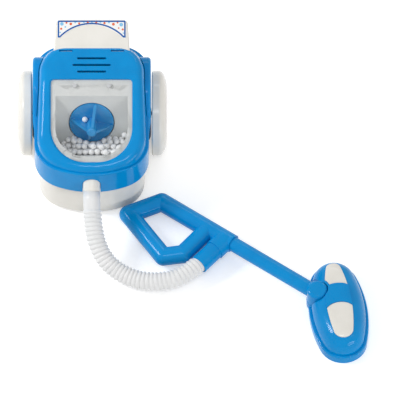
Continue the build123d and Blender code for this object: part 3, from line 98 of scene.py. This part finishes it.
def mould_skin_group():
    """Surface of a moulded plastic part: fine orange peel, slow waves and uneven gloss."""
    group, given, out = new_group(
        "mould_skin",
        [("Grain Size", "NodeSocketFloat", 0.0008), ("Wave Size", "NodeSocketFloat", 0.012),
         ("Wave Share", "NodeSocketFloat", 0.5), ("Gloss", "NodeSocketFloat", 0.25),
         ("Gloss Spread", "NodeSocketFloat", 0.06)],
        [("Height", "NodeSocketFloat"), ("Roughness", "NodeSocketFloat"), ("Mottle", "NodeSocketFloat")])
    make, link = group.nodes.new, group.links.new
    place = make("ShaderNodeTexCoord")

    def grain(size_socket, detail):
        per_metre = make("ShaderNodeMath")
        per_metre.operation = "DIVIDE"
        per_metre.inputs[0].default_value = 1.0
        link(given.outputs[size_socket], per_metre.inputs[1])
        noise = make("ShaderNodeTexNoise")
        noise.inputs["Detail"].default_value = detail
        link(place.outputs["Object"], noise.inputs["Vector"])
        link(per_metre.outputs[0], noise.inputs["Scale"])
        return noise

    fine, slow = grain("Grain Size", 2.0), grain("Wave Size", 3.0)
    mixed = make("ShaderNodeMix")
    link(given.outputs["Wave Share"], mixed.inputs["Factor"])
    link(fine.outputs["Fac"], mixed.inputs["A"])
    link(slow.outputs["Fac"], mixed.inputs["B"])
    centred = make("ShaderNodeMath")
    centred.operation = "SUBTRACT"
    link(slow.outputs["Fac"], centred.inputs[0])
    centred.inputs[1].default_value = 0.5
    spread = make("ShaderNodeMath")
    spread.operation = "MULTIPLY_ADD"
    link(centred.outputs[0], spread.inputs[0])
    link(given.outputs["Gloss Spread"], spread.inputs[1])
    link(given.outputs["Gloss"], spread.inputs[2])
    link(mixed.outputs["Result"], out.inputs["Height"])
    link(spread.outputs[0], out.inputs["Roughness"])
    link(slow.outputs["Fac"], out.inputs["Mottle"])
    return group


def two_tone_group():
    """A colour that drifts a little between two shades over the part."""
    group, given, out = new_group(
        "two_tone",
        [("Mottle", "NodeSocketFloat", 0.5), ("Deep", "NodeSocketColor", (0.5, 0.5, 0.5, 1)),
         ("Pale", "NodeSocketColor", (0.8, 0.8, 0.8, 1))],
        [("Color", "NodeSocketColor")])
    make, link = group.nodes.new, group.links.new
    ramp = make("ShaderNodeMapRange")
    ramp.inputs["From Min"].default_value = 0.3
    ramp.inputs["From Max"].default_value = 0.7
    link(given.outputs["Mottle"], ramp.inputs["Value"])
    mixed = make("ShaderNodeMix")
    mixed.data_type = "RGBA"
    link(ramp.outputs["Result"], mixed.inputs["Factor"])
    link(given.outputs["Deep"], mixed.inputs[6])
    link(given.outputs["Pale"], mixed.inputs[7])
    link(mixed.outputs[2], out.inputs["Color"])
    return group


RELIEF_DEPTH = 0.0004
MOULD_SKIN = mould_skin_group()
TWO_TONE = two_tone_group()


def plastic(name, deep, pale, gloss, gloss_spread=0.05, grain=0.0009, wave=0.014, wave_share=0.75, bump=0.05,
            shine=0.3, scatter=0.0, scatter_reach=(0.001, 0.001, 0.001)):
    """Moulded plastic whose gloss and shade vary a little over the part."""
    material = bpy.data.materials.new(name)
    material.use_nodes = True
    nodes, links = material.node_tree.nodes, material.node_tree.links
    shader = nodes["Principled BSDF"]
    skin = nodes.new("ShaderNodeGroup")
    skin.node_tree = MOULD_SKIN
    skin.inputs["Grain Size"].default_value = grain
    skin.inputs["Wave Size"].default_value = wave
    skin.inputs["Wave Share"].default_value = wave_share
    skin.inputs["Gloss"].default_value = gloss
    skin.inputs["Gloss Spread"].default_value = gloss_spread
    colour = nodes.new("ShaderNodeGroup")
    colour.node_tree = TWO_TONE
    colour.inputs["Deep"].default_value = deep
    colour.inputs["Pale"].default_value = pale
    links.new(skin.outputs["Mottle"], colour.inputs["Mottle"])
    links.new(colour.outputs["Color"], shader.inputs["Base Color"])
    links.new(skin.outputs["Roughness"], shader.inputs["Roughness"])
    relief = nodes.new("ShaderNodeBump")
    relief.inputs["Strength"].default_value = bump
    relief.inputs["Distance"].default_value = RELIEF_DEPTH
    links.new(skin.outputs["Height"], relief.inputs["Height"])
    links.new(relief.outputs["Normal"], shader.inputs["Normal"])
    shader.inputs["Specular IOR Level"].default_value = shine
    if scatter:
        shader.inputs["Subsurface Weight"].default_value = scatter
        shader.inputs["Subsurface Radius"].default_value = scatter_reach
        shader.inputs["Subsurface Scale"].default_value = 1.0
    return material


def metal(name, colour, gloss):
    """Plain metal with a fine grain."""
    material = plastic(name, colour, colour, gloss, grain=0.0004, wave=0.004, bump=0.05)
    material.node_tree.nodes["Principled BSDF"].inputs["Metallic"].default_value = 1.0
    return material


def clear_plastic():
    """Thin clear sheet: hardly seen face on, more solid where it is seen at a slant."""
    material = plastic("clear_window", tint(120, 128, 134), tint(130, 138, 144), 0.03, gloss_spread=0.02, bump=0.01,
                       shine=0.5)
    nodes, links = material.node_tree.nodes, material.node_tree.links
    slant = nodes.new("ShaderNodeLayerWeight")
    curve = nodes.new("ShaderNodeMath")
    curve.operation = "POWER"
    curve.inputs[1].default_value = 4.0
    cover = nodes.new("ShaderNodeMath")
    cover.operation = "MULTIPLY_ADD"
    cover.inputs[1].default_value = 0.25
    cover.inputs[2].default_value = 0.03
    links.new(slant.outputs["Facing"], curve.inputs[0])
    links.new(curve.outputs[0], cover.inputs[0])
    links.new(cover.outputs[0], nodes["Principled BSDF"].inputs["Alpha"])
    return material


BLUE = plastic("blue_shell", tint(1, 138, 207), tint(3, 146, 215), 0.13, shine=0.15)
WHITE = plastic("white_shell", tint(231, 228, 220), tint(237, 234, 227), 0.2, shine=0.28, scatter=0.06)
# The bead box is white plastic: its tint is set greyer than the white shell as painted shade for the inside of the
# deep box.
BOX_WHITE_PAINTED_SHADE = plastic("box_lining_painted_shade", tint(212, 214, 213), tint(219, 221, 219), 0.34, shine=0.2)
HOSE_WHITE = plastic("hose_sleeve", tint(228, 229, 229), tint(234, 234, 234), 0.3, shine=0.25, scatter=0.1,
                     scatter_reach=(0.0012, 0.0012, 0.0012))
FAN_BLUE = plastic("fan_blade", tint(16, 140, 206), tint(28, 152, 216), 0.12, shine=0.5)
FOAM = plastic("foam_bead", tint(247, 247, 247), tint(253, 253, 253), 0.85, grain=0.0005, wave=0.003, bump=0.25,
               shine=0.1, scatter=0.6, scatter_reach=(0.0025, 0.0025, 0.0025))
FILM = plastic("label_film", tint(240, 240, 238), tint(246, 246, 245), 0.16, bump=0.02)
PRINT_BLUE = plastic("print_blue", tint(12, 84, 160), tint(18, 94, 170), 0.18, bump=0.02)
PRINT_ORANGE = plastic("print_orange", tint(222, 92, 44), tint(230, 104, 52), 0.18, bump=0.02)
PRINT_SKY = plastic("print_sky", tint(120, 186, 228), tint(134, 198, 236), 0.18, bump=0.02)
STEEL = metal("zinc_steel", tint(178, 180, 182), 0.3)
CAN_METAL = metal("motor_can", tint(176, 178, 180), 0.34)
CELL = plastic("cell_sleeve", tint(28, 30, 34), tint(40, 42, 46), 0.3)
BLACK = plastic("black_part", tint(22, 22, 24), tint(32, 32, 34), 0.42, bump=0.12)
CLEAR = clear_plastic()

FINISH = {
    "base_housing": WHITE, "middle_band": BLUE, "hood": BLUE, "rear_grip": WHITE, "grip_label": FILM,
    "bead_box": BOX_WHITE_PAINTED_SHADE, "window_cover": CLEAR, "window_screws": STEEL, "foam_beads": FOAM, "fan_disc": FAN_BLUE,
    "motor_shaft": STEEL, "motor": CAN_METAL, "motor_clip": STEEL, "motor_clip_screws": STEEL,
    "right_wheel": WHITE, "left_wheel": WHITE, "wheel_axle": STEEL, "front_roller": WHITE,
    "front_roller_pin": STEEL, "batteries": CELL, "right_battery_contact": STEEL, "left_battery_contact": STEEL,
    "battery_door": WHITE, "battery_door_screw": STEEL, "switch_knob": BLACK, "switch_body": BLACK,
    "housing_screws": STEEL, "hose_connector": WHITE, "ribbed_hose": HOSE_WHITE, "hose_socket": BLUE,
    "handle_upper_half": BLUE, "handle_lower_half": BLUE, "handle_screws": STEEL, "wand_tube": BLUE,
    "neck_ball": BLUE, "nozzle_shell": BLUE, "nozzle_sole": BLUE, "nozzle_front_insert": WHITE,
    "nozzle_rear_insert": WHITE, "nozzle_screws": STEEL,
}


def finish_nodes():
    for name, node in NODES.items():
        node.data.materials.clear()
        node.data.materials.append(FINISH[name])


finish_nodes()


def add_piece(name, mesh, material, body, smooth=True):
    """Puts a finished mesh into the scene, riding on a body."""
    piece = bpy.data.objects.new(name, mesh)
    bpy.context.scene.collection.objects.link(piece)
    if material:
        mesh.materials.append(material)
    if smooth:
        mesh.shade_smooth()
    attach(piece, body)
    return piece


# Ribbed hose

HOSE_POINTS = ((0.0, -73.892, 41.480), (0.0, -95.009, 28.285), (7.6, -114.6, 15.0), (23.2, -125.2, 8.2),
               (42.6, -131.2, 8.2), (67.043, -128.402, 11.061), (83.634, -109.969, 11.199))
HOSE_WIDE = 6.8
HOSE_NARROW = 6.05
HOSE_BORE = 4.9
HOSE_RIBS = 36
HOSE_CUFFS = (13.6, 11.0)


def hose_line():
    """Points of the hose's smooth centre line, read from a spline through its route, and their distances."""
    data = bpy.data.curves.new("hose_route", "CURVE")
    data.dimensions = "3D"
    data.resolution_u = 64
    spline = data.splines.new("NURBS")
    spline.points.add(len(HOSE_POINTS) - 1)
    for point, place in zip(spline.points, HOSE_POINTS):
        point.co = (*at(*place), 1.0)
    spline.order_u = 3
    spline.use_endpoint_u = True
    route = bpy.data.objects.new("hose_route", data)
    bpy.context.scene.collection.objects.link(route)
    bpy.context.view_layer.update()
    line = bpy.data.meshes.new_from_object(route)
    points = [v.co.copy() for v in line.vertices]
    bpy.data.objects.remove(route)
    distances = [0.0]
    for before, here in zip(points, points[1:]):
        distances.append(distances[-1] + (here - before).length)
    return points, distances


def on_line(points, distances, wanted):
    """Place and direction at a distance along a line of points."""
    wanted = min(max(wanted, 0.0), distances[-1])
    index = min(max(int(np.searchsorted(distances, wanted)), 1), len(points) - 1)
    span = distances[index] - distances[index - 1]
    share = (wanted - distances[index - 1]) / span if span else 0.0
    place = points[index - 1].lerp(points[index], share)
    low, high = max(index - 3, 0), min(index + 2, len(points) - 1)
    return place, (points[high] - points[low]).normalized()


def hose_rings():
    """Distance along the hose and radius of every ring, in millimetres: cuff, ribs, cuff."""
    total = 1000 * HOSE_DISTANCES[-1]
    ribbed = total - sum(HOSE_CUFFS)
    pitch = ribbed / HOSE_RIBS
    swell = HOSE_WIDE - HOSE_NARROW
    rings = [(0.0, HOSE_NARROW), (HOSE_CUFFS[0] * 0.5, HOSE_NARROW), (HOSE_CUFFS[0] - 0.15, HOSE_NARROW)]
    profile = ((0.0, 0.0), (0.08, 0.32), (0.17, 0.74), (0.28, 0.96), (0.4, 1.0), (0.52, 0.96), (0.63, 0.74),
               (0.72, 0.32), (0.8, 0.0), (0.9, -0.08))
    for rib in range(HOSE_RIBS):
        for share, height in profile:
            rings.append((HOSE_CUFFS[0] + (rib + share) * pitch, HOSE_NARROW + swell * height))
    rings += [(total - HOSE_CUFFS[1] + 0.15, HOSE_NARROW), (total, HOSE_NARROW)]
    inside = [(total, HOSE_BORE)] + [(total * k / 60, HOSE_BORE) for k in range(59, 0, -1)] + [(0.0, HOSE_BORE)]
    return rings + inside


def ribbed_hose():
    sides = 48
    mesh = bpy.data.meshes.new("hose")
    build = bmesh.new()
    loops = []
    for distance, radius in hose_rings():
        place, heading = on_line(HOSE_LINE, HOSE_DISTANCES, distance / 1000)
        level = Vector((0, 0, 1)).cross(heading).normalized()
        rise = heading.cross(level)
        loops.append([build.verts.new(place + (level * math.cos(a) + rise * math.sin(a)) * radius / 1000)
                      for a in (2 * math.pi * k / sides for k in range(sides))])
    for here, after in zip(loops, loops[1:] + loops[:1]):
        for k in range(sides):
            build.faces.new((here[k], here[(k + 1) % sides], after[(k + 1) % sides], after[k]))
    bmesh.ops.recalc_face_normals(build, faces=build.faces)
    build.to_mesh(mesh)
    build.free()
    hose = add_piece("hose", mesh, HOSE_WHITE, "canister")
    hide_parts("ribbed_hose")


HOSE_LINE, HOSE_DISTANCES = hose_line()
ribbed_hose()


# Foam beads

BEAD_RADIUS = 2.3
FAN_MIDDLE = Vector((0.0, -27.3, 59.815))
FAN_LEAN = math.radians(25.7)
FAN_AXIS = Vector((0.0, -math.cos(FAN_LEAN), math.sin(FAN_LEAN)))
FRONT_SLOPE = math.radians(52.0)
ROOM_HALF_WIDTH = 25.9
ROOM_CORNER = 21.0
ROOM_CORNER_MIDDLE = 4.9
# Cone that keeps the beads off the turning fan: its reach at the disc, its run and its rise
CONE_REACH = 15.3
CONE_RUN = 15.0
CONE_RISE = 11.9
BEAD_COUNT = 84
SETTLE_STEPS = 900


def bead_planes():
    """Walls of the bead room as (point, inward normal), in millimetres."""
    return ((Vector((0, -36.84, 40.0)), FAN_AXIS),
            (Vector((0, -39, 40.0)), Vector((0, 0, 1))),
            (Vector((0, -41.04, 40.0)), Vector((0, math.sin(FRONT_SLOPE), math.cos(FRONT_SLOPE)))),
            (Vector((0, -16.44, 80.59)), Vector((0, 0.3983, -0.9173))))


def side_room(y, z):
    """Half width of the bead room at a place, from the box's rounded lower outline."""
    up = (y + 63.4) * 0.9173 + (z - 62.0) * 0.3983 - 5.1
    if up >= ROOM_CORNER:
        return ROOM_HALF_WIDTH
    dip = min(ROOM_CORNER - max(up, 0.0), ROOM_CORNER - 0.1)
    return ROOM_CORNER_MIDDLE + math.sqrt(ROOM_CORNER ** 2 - dip ** 2)


def settle_beads(count, seed):
    """Drops beads into the room and lets them push one another apart until they lie still."""
    rng = random.Random(seed)
    spots = []
    while len(spots) < count:
        x = rng.uniform(-21, 23)
        heap = 46 + 7 * max(x / 23, 0) ** 2
        spots.append(Vector((x, rng.uniform(-48, -35), rng.uniform(42, heap + 8))))
    sizes = [BEAD_RADIUS * rng.uniform(0.86, 1.0) for _ in spots]
    places = np.array([tuple(s) for s in spots])
    radii = np.array(sizes)
    walls = [(np.array(p), np.array(n)) for p, n in bead_planes()]
    middle, axis = np.array(FAN_MIDDLE), np.array(FAN_AXIS)
    slant = math.hypot(CONE_RUN, CONE_RISE)
    for step in range(SETTLE_STEPS):
        calm = max(0.0, 1 - step / 820)
        places[:, 2] -= 0.12 * calm
        places[:, 0] += 0.03 * calm
        for _ in range(2):
            gap = places[:, None] - places[None]
            far = np.linalg.norm(gap, axis=2) + np.eye(len(places)) * 99
            need = radii[:, None] + radii[None]
            push = np.clip(need - far, 0, None)[..., None] * gap / far[..., None] * 0.5
            places += push.sum(1) * 0.8
            for point, normal in walls:
                deep = radii + 0.05 - (places - point) @ normal
                places += np.clip(deep, 0, None)[:, None] * normal
            for k in range(len(places)):
                room = side_room(places[k, 1], places[k, 2]) - radii[k] - 0.1
                places[k, 0] = min(max(places[k, 0], -room), room)
            off = places - middle
            along = off @ axis
            out = off - along[:, None] * axis
            wide = np.linalg.norm(out, axis=1) + 1e-6
            free = (wide - CONE_REACH) * CONE_RUN / slant + (along - 0.4) * CONE_RISE / slant
            need_room = np.clip(radii + 0.45 - free, 0, None)
            places += need_room[:, None] * (out / wide[:, None] * CONE_RUN / slant + axis * CONE_RISE / slant)
    return places, radii


def bead_mesh(name, places, radii, seed):
    """Slightly uneven foam balls joined into one mesh."""
    rng = random.Random(seed)
    mesh = bpy.data.meshes.new(name)
    build = bmesh.new()
    for place, radius in zip(places, radii):
        spin = Matrix.Rotation(rng.uniform(0, 6.28), 4, Vector((rng.random(), rng.random(), 1)).normalized())
        dent = Matrix.Diagonal((rng.uniform(0.93, 1.0), rng.uniform(0.95, 1.0), 1.0, 1.0))
        where = Matrix.Translation(at(*place)) @ spin @ dent
        bmesh.ops.create_icosphere(build, subdivisions=3, radius=radius / 1000, matrix=where)
    build.to_mesh(mesh)
    build.free()
    return mesh


def foam_beads():
    places, radii = settle_beads(BEAD_COUNT, 5)
    heap = add_piece("bead_heap", bead_mesh("bead_heap", places, radii, 8), FOAM, "canister")
    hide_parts("foam_beads")
    across = Vector((1, 0, 0))
    up = FAN_AXIS.cross(across).normalized()
    radius = 2.1
    spot = FAN_MIDDLE + across * -4.8 + up * 3.7 + FAN_AXIS * (radius - 0.2)
    add_piece("disc_bead", bead_mesh("disc_bead", [tuple(spot)], [radius], 3), FOAM, "fan")


foam_beads()


# Label on the rear grip: a border line and a generic pattern of bubbles

GRIP_MIDDLE = Vector((0.0, 19.4, 87.2))
GRIP_PITCH = math.radians(25.0)
LABEL_HALF = 24.7
LABEL_TOP = 19.7
LABEL_LOW = 6.7
LABEL_CORNER = 1.2
LABEL_ARCH_MIDDLE = -14.6
LABEL_ARCH = 31.0
LABEL_FACE = 0.25
INK = 0.03
BORDER_OUTER = 0.3
BORDER_INNER = 1.4
# Bubbles: place across and up, radius, and the ink's name
BUBBLES = ((-21.4, 16.9, 1.25, "sky"), (-18.1, 17.7, 0.7, "orange"), (-21.9, 13.4, 0.8, "orange"),
           (-18.9, 14.7, 0.6, "sky"), (-15.0, 16.9, 0.95, "orange"), (-11.8, 18.0, 0.6, "sky"),
           (-9.0, 17.3, 0.75, "orange"), (-5.6, 18.1, 0.55, "sky"), (-2.8, 18.0, 0.7, "orange"),
           (0.2, 18.1, 0.5, "sky"), (3.3, 18.0, 0.75, "orange"), (6.3, 18.1, 0.55, "sky"),
           (9.2, 17.5, 0.8, "orange"), (12.4, 17.9, 0.6, "sky"), (15.6, 16.7, 1.0, "orange"),
           (18.6, 17.8, 0.6, "orange"), (21.2, 16.4, 1.3, "sky"), (19.4, 13.9, 0.55, "orange"),
           (22.3, 12.9, 0.75, "orange"), (-22.6, 10.7, 0.5, "sky"), (22.7, 10.2, 0.5, "sky"))


def on_grip(x, y, z):
    """Place on the grip's own plane, in metres of the scene."""
    up = Vector((0, math.cos(GRIP_PITCH), math.sin(GRIP_PITCH)))
    out = Vector((0, -math.sin(GRIP_PITCH), math.cos(GRIP_PITCH)))
    return at(*(GRIP_MIDDLE + Vector((x, 0, 0)) + up * y + out * z))


def label_outline(inset):
    """Closed outline of the label, moved inwards: two legs, a rounded top and the arch below it."""
    half, top, low = LABEL_HALF - inset, LABEL_TOP - inset, LABEL_LOW + inset
    arch, corner = LABEL_ARCH + inset, max(LABEL_CORNER - inset, 0.25)
    points = [(-half, low)]
    for side in (-1, 1):
        turns = [math.pi / 2 * k / 6 for k in range(7)]
        if side > 0:
            turns.reverse()
        points += [(side * (half - corner + corner * math.cos(a)), top - corner + corner * math.sin(a))
                   for a in turns]
    points.append((half, low))
    foot = math.acos((low - LABEL_ARCH_MIDDLE) / arch)
    points += [(arch * math.sin(turn), LABEL_ARCH_MIDDLE + arch * math.cos(turn))
               for turn in (foot - 2 * foot * k / 60 for k in range(61))]
    return points


def ink_ring(build, outer, inner):
    """Thin raised ring between two outlines with as many points."""
    for height in (LABEL_FACE, LABEL_FACE + INK):
        rings = [[build.verts.new(on_grip(x, y, height)) for x, y in line] for line in (outer, inner)]
        if height == LABEL_FACE:
            low = rings
    count = len(outer)
    for k in range(count):
        n = (k + 1) % count
        build.faces.new((rings[0][k], rings[0][n], rings[1][n], rings[1][k]))
        build.faces.new((low[0][k], low[0][n], rings[0][n], rings[0][k]))
        build.faces.new((low[1][n], low[1][k], rings[1][k], rings[1][n]))


def round_line(x, y, radius):
    return [(x + radius * math.cos(a), y + radius * math.sin(a)) for a in (2 * math.pi * k / 28 for k in range(28))]


def label_print():
    inks = {"border": PRINT_BLUE, "orange": PRINT_ORANGE, "sky": PRINT_SKY}
    for ink, material in inks.items():
        mesh = bpy.data.meshes.new("label_" + ink)
        build = bmesh.new()
        if ink == "border":
            ink_ring(build, label_outline(BORDER_OUTER), label_outline(BORDER_INNER))
        for x, y, radius, colour in BUBBLES:
            if colour == ink:
                ink_ring(build, round_line(x, y, radius), round_line(x, y, radius * 0.12))
        bmesh.ops.recalc_face_normals(build, faces=build.faces)
        build.to_mesh(mesh)
        build.free()
        add_piece("label_" + ink, mesh, material, "canister", smooth=False)


label_print()


# Studio

SKY_LEVEL = 0.5
FLOOR_GLOW = 0.42


def studio_world():
    """White surroundings: a soft level on the object, full white where seen or mirrored."""
    world = bpy.data.worlds.new("studio_world")
    bpy.context.scene.world = world
    world.use_nodes = True
    nodes, links = world.node_tree.nodes, world.node_tree.links
    soft = nodes["Background"]
    soft.inputs["Color"].default_value = (1.0, 1.0, 1.0, 1.0)
    soft.inputs["Strength"].default_value = SKY_LEVEL
    plain = nodes.new("ShaderNodeBackground")
    plain.inputs["Color"].default_value = (1.0, 1.0, 1.0, 1.0)
    plain.inputs["Strength"].default_value = 1.0
    path = nodes.new("ShaderNodeLightPath")
    direct = nodes.new("ShaderNodeMath")
    direct.operation = "MAXIMUM"
    links.new(path.outputs["Is Camera Ray"], direct.inputs[0])
    links.new(path.outputs["Is Glossy Ray"], direct.inputs[1])
    through = nodes.new("ShaderNodeMath")
    through.operation = "MAXIMUM"
    links.new(direct.outputs[0], through.inputs[0])
    links.new(path.outputs["Is Transmission Ray"], through.inputs[1])
    mixed = nodes.new("ShaderNodeMixShader")
    links.new(through.outputs[0], mixed.inputs[0])
    links.new(soft.outputs[0], mixed.inputs[1])
    links.new(plain.outputs[0], mixed.inputs[2])
    links.new(mixed.outputs[0], nodes["World Output"].inputs[0])


def studio_floor():
    """Pale paper floor that keeps the object's shadow and shows white."""
    mesh = bpy.data.meshes.new("studio_floor")
    mesh.from_pydata([(-4, -4, 0), (4, -4, 0), (4, 4, 0), (-4, 4, 0)], [], [(0, 1, 2, 3)])
    floor = bpy.data.objects.new("studio_floor", mesh)
    bpy.context.scene.collection.objects.link(floor)
    material = bpy.data.materials.new("paper_floor")
    material.use_nodes = True
    nodes, links = material.node_tree.nodes, material.node_tree.links
    shader = nodes["Principled BSDF"]
    shader.inputs["Base Color"].default_value = (0.9, 0.9, 0.9, 1.0)
    shader.inputs["Roughness"].default_value = 0.9
    shader.inputs["Specular IOR Level"].default_value = 0.1
    glow = nodes.new("ShaderNodeEmission")
    path = nodes.new("ShaderNodeLightPath")
    seen = nodes.new("ShaderNodeMath")
    seen.operation = "ADD"
    links.new(path.outputs["Is Camera Ray"], seen.inputs[0])
    links.new(path.outputs["Is Transmission Ray"], seen.inputs[1])
    mirrored = nodes.new("ShaderNodeMath")
    mirrored.operation = "ADD"
    links.new(seen.outputs[0], mirrored.inputs[0])
    links.new(path.outputs["Is Glossy Ray"], mirrored.inputs[1])
    strength = nodes.new("ShaderNodeMath")
    strength.operation = "MULTIPLY"
    strength.inputs[1].default_value = FLOOR_GLOW
    links.new(mirrored.outputs[0], strength.inputs[0])
    links.new(strength.outputs[0], glow.inputs["Strength"])
    both = nodes.new("ShaderNodeAddShader")
    links.new(shader.outputs[0], both.inputs[0])
    links.new(glow.outputs[0], both.inputs[1])
    links.new(both.outputs[0], nodes["Material Output"].inputs[0])
    mesh.materials.append(material)


def soft_box(name, place, aim, size, power):
    data = bpy.data.lights.new(name, "AREA")
    data.shape = "RECTANGLE"
    data.size, data.size_y = size
    data.energy = power
    lamp = bpy.data.objects.new(name, data)
    bpy.context.scene.collection.objects.link(lamp)
    lamp.location = place
    lamp.rotation_euler = (Vector(aim) - Vector(place)).to_track_quat("-Z", "Y").to_euler()


studio_world()
studio_floor()
soft_box("key_box", (-0.72, 0.05, 0.6), (0.0, 0.0, 0.0), (0.2, 0.24), 3.7)
soft_box("top_box", (0.0, -0.42, 0.95), (0.0, 0.0, 0.0), (0.24, 0.12), 1.1)
soft_box("back_box", (0.15, 0.8, 0.7), (0.0, 0.0, 0.0), (0.5, 0.16), 0.9)
soft_box("fill_box", (0.75, -0.3, 0.6), (0.05, -0.05, 0.0), (0.22, 0.22), 0.2)
soft_box("front_box", (0.75, -0.8, 0.18), (0.0, 0.0, 0.03), (0.6, 0.22), 3.0)

bpy.context.scene.view_settings.view_transform = "Standard"
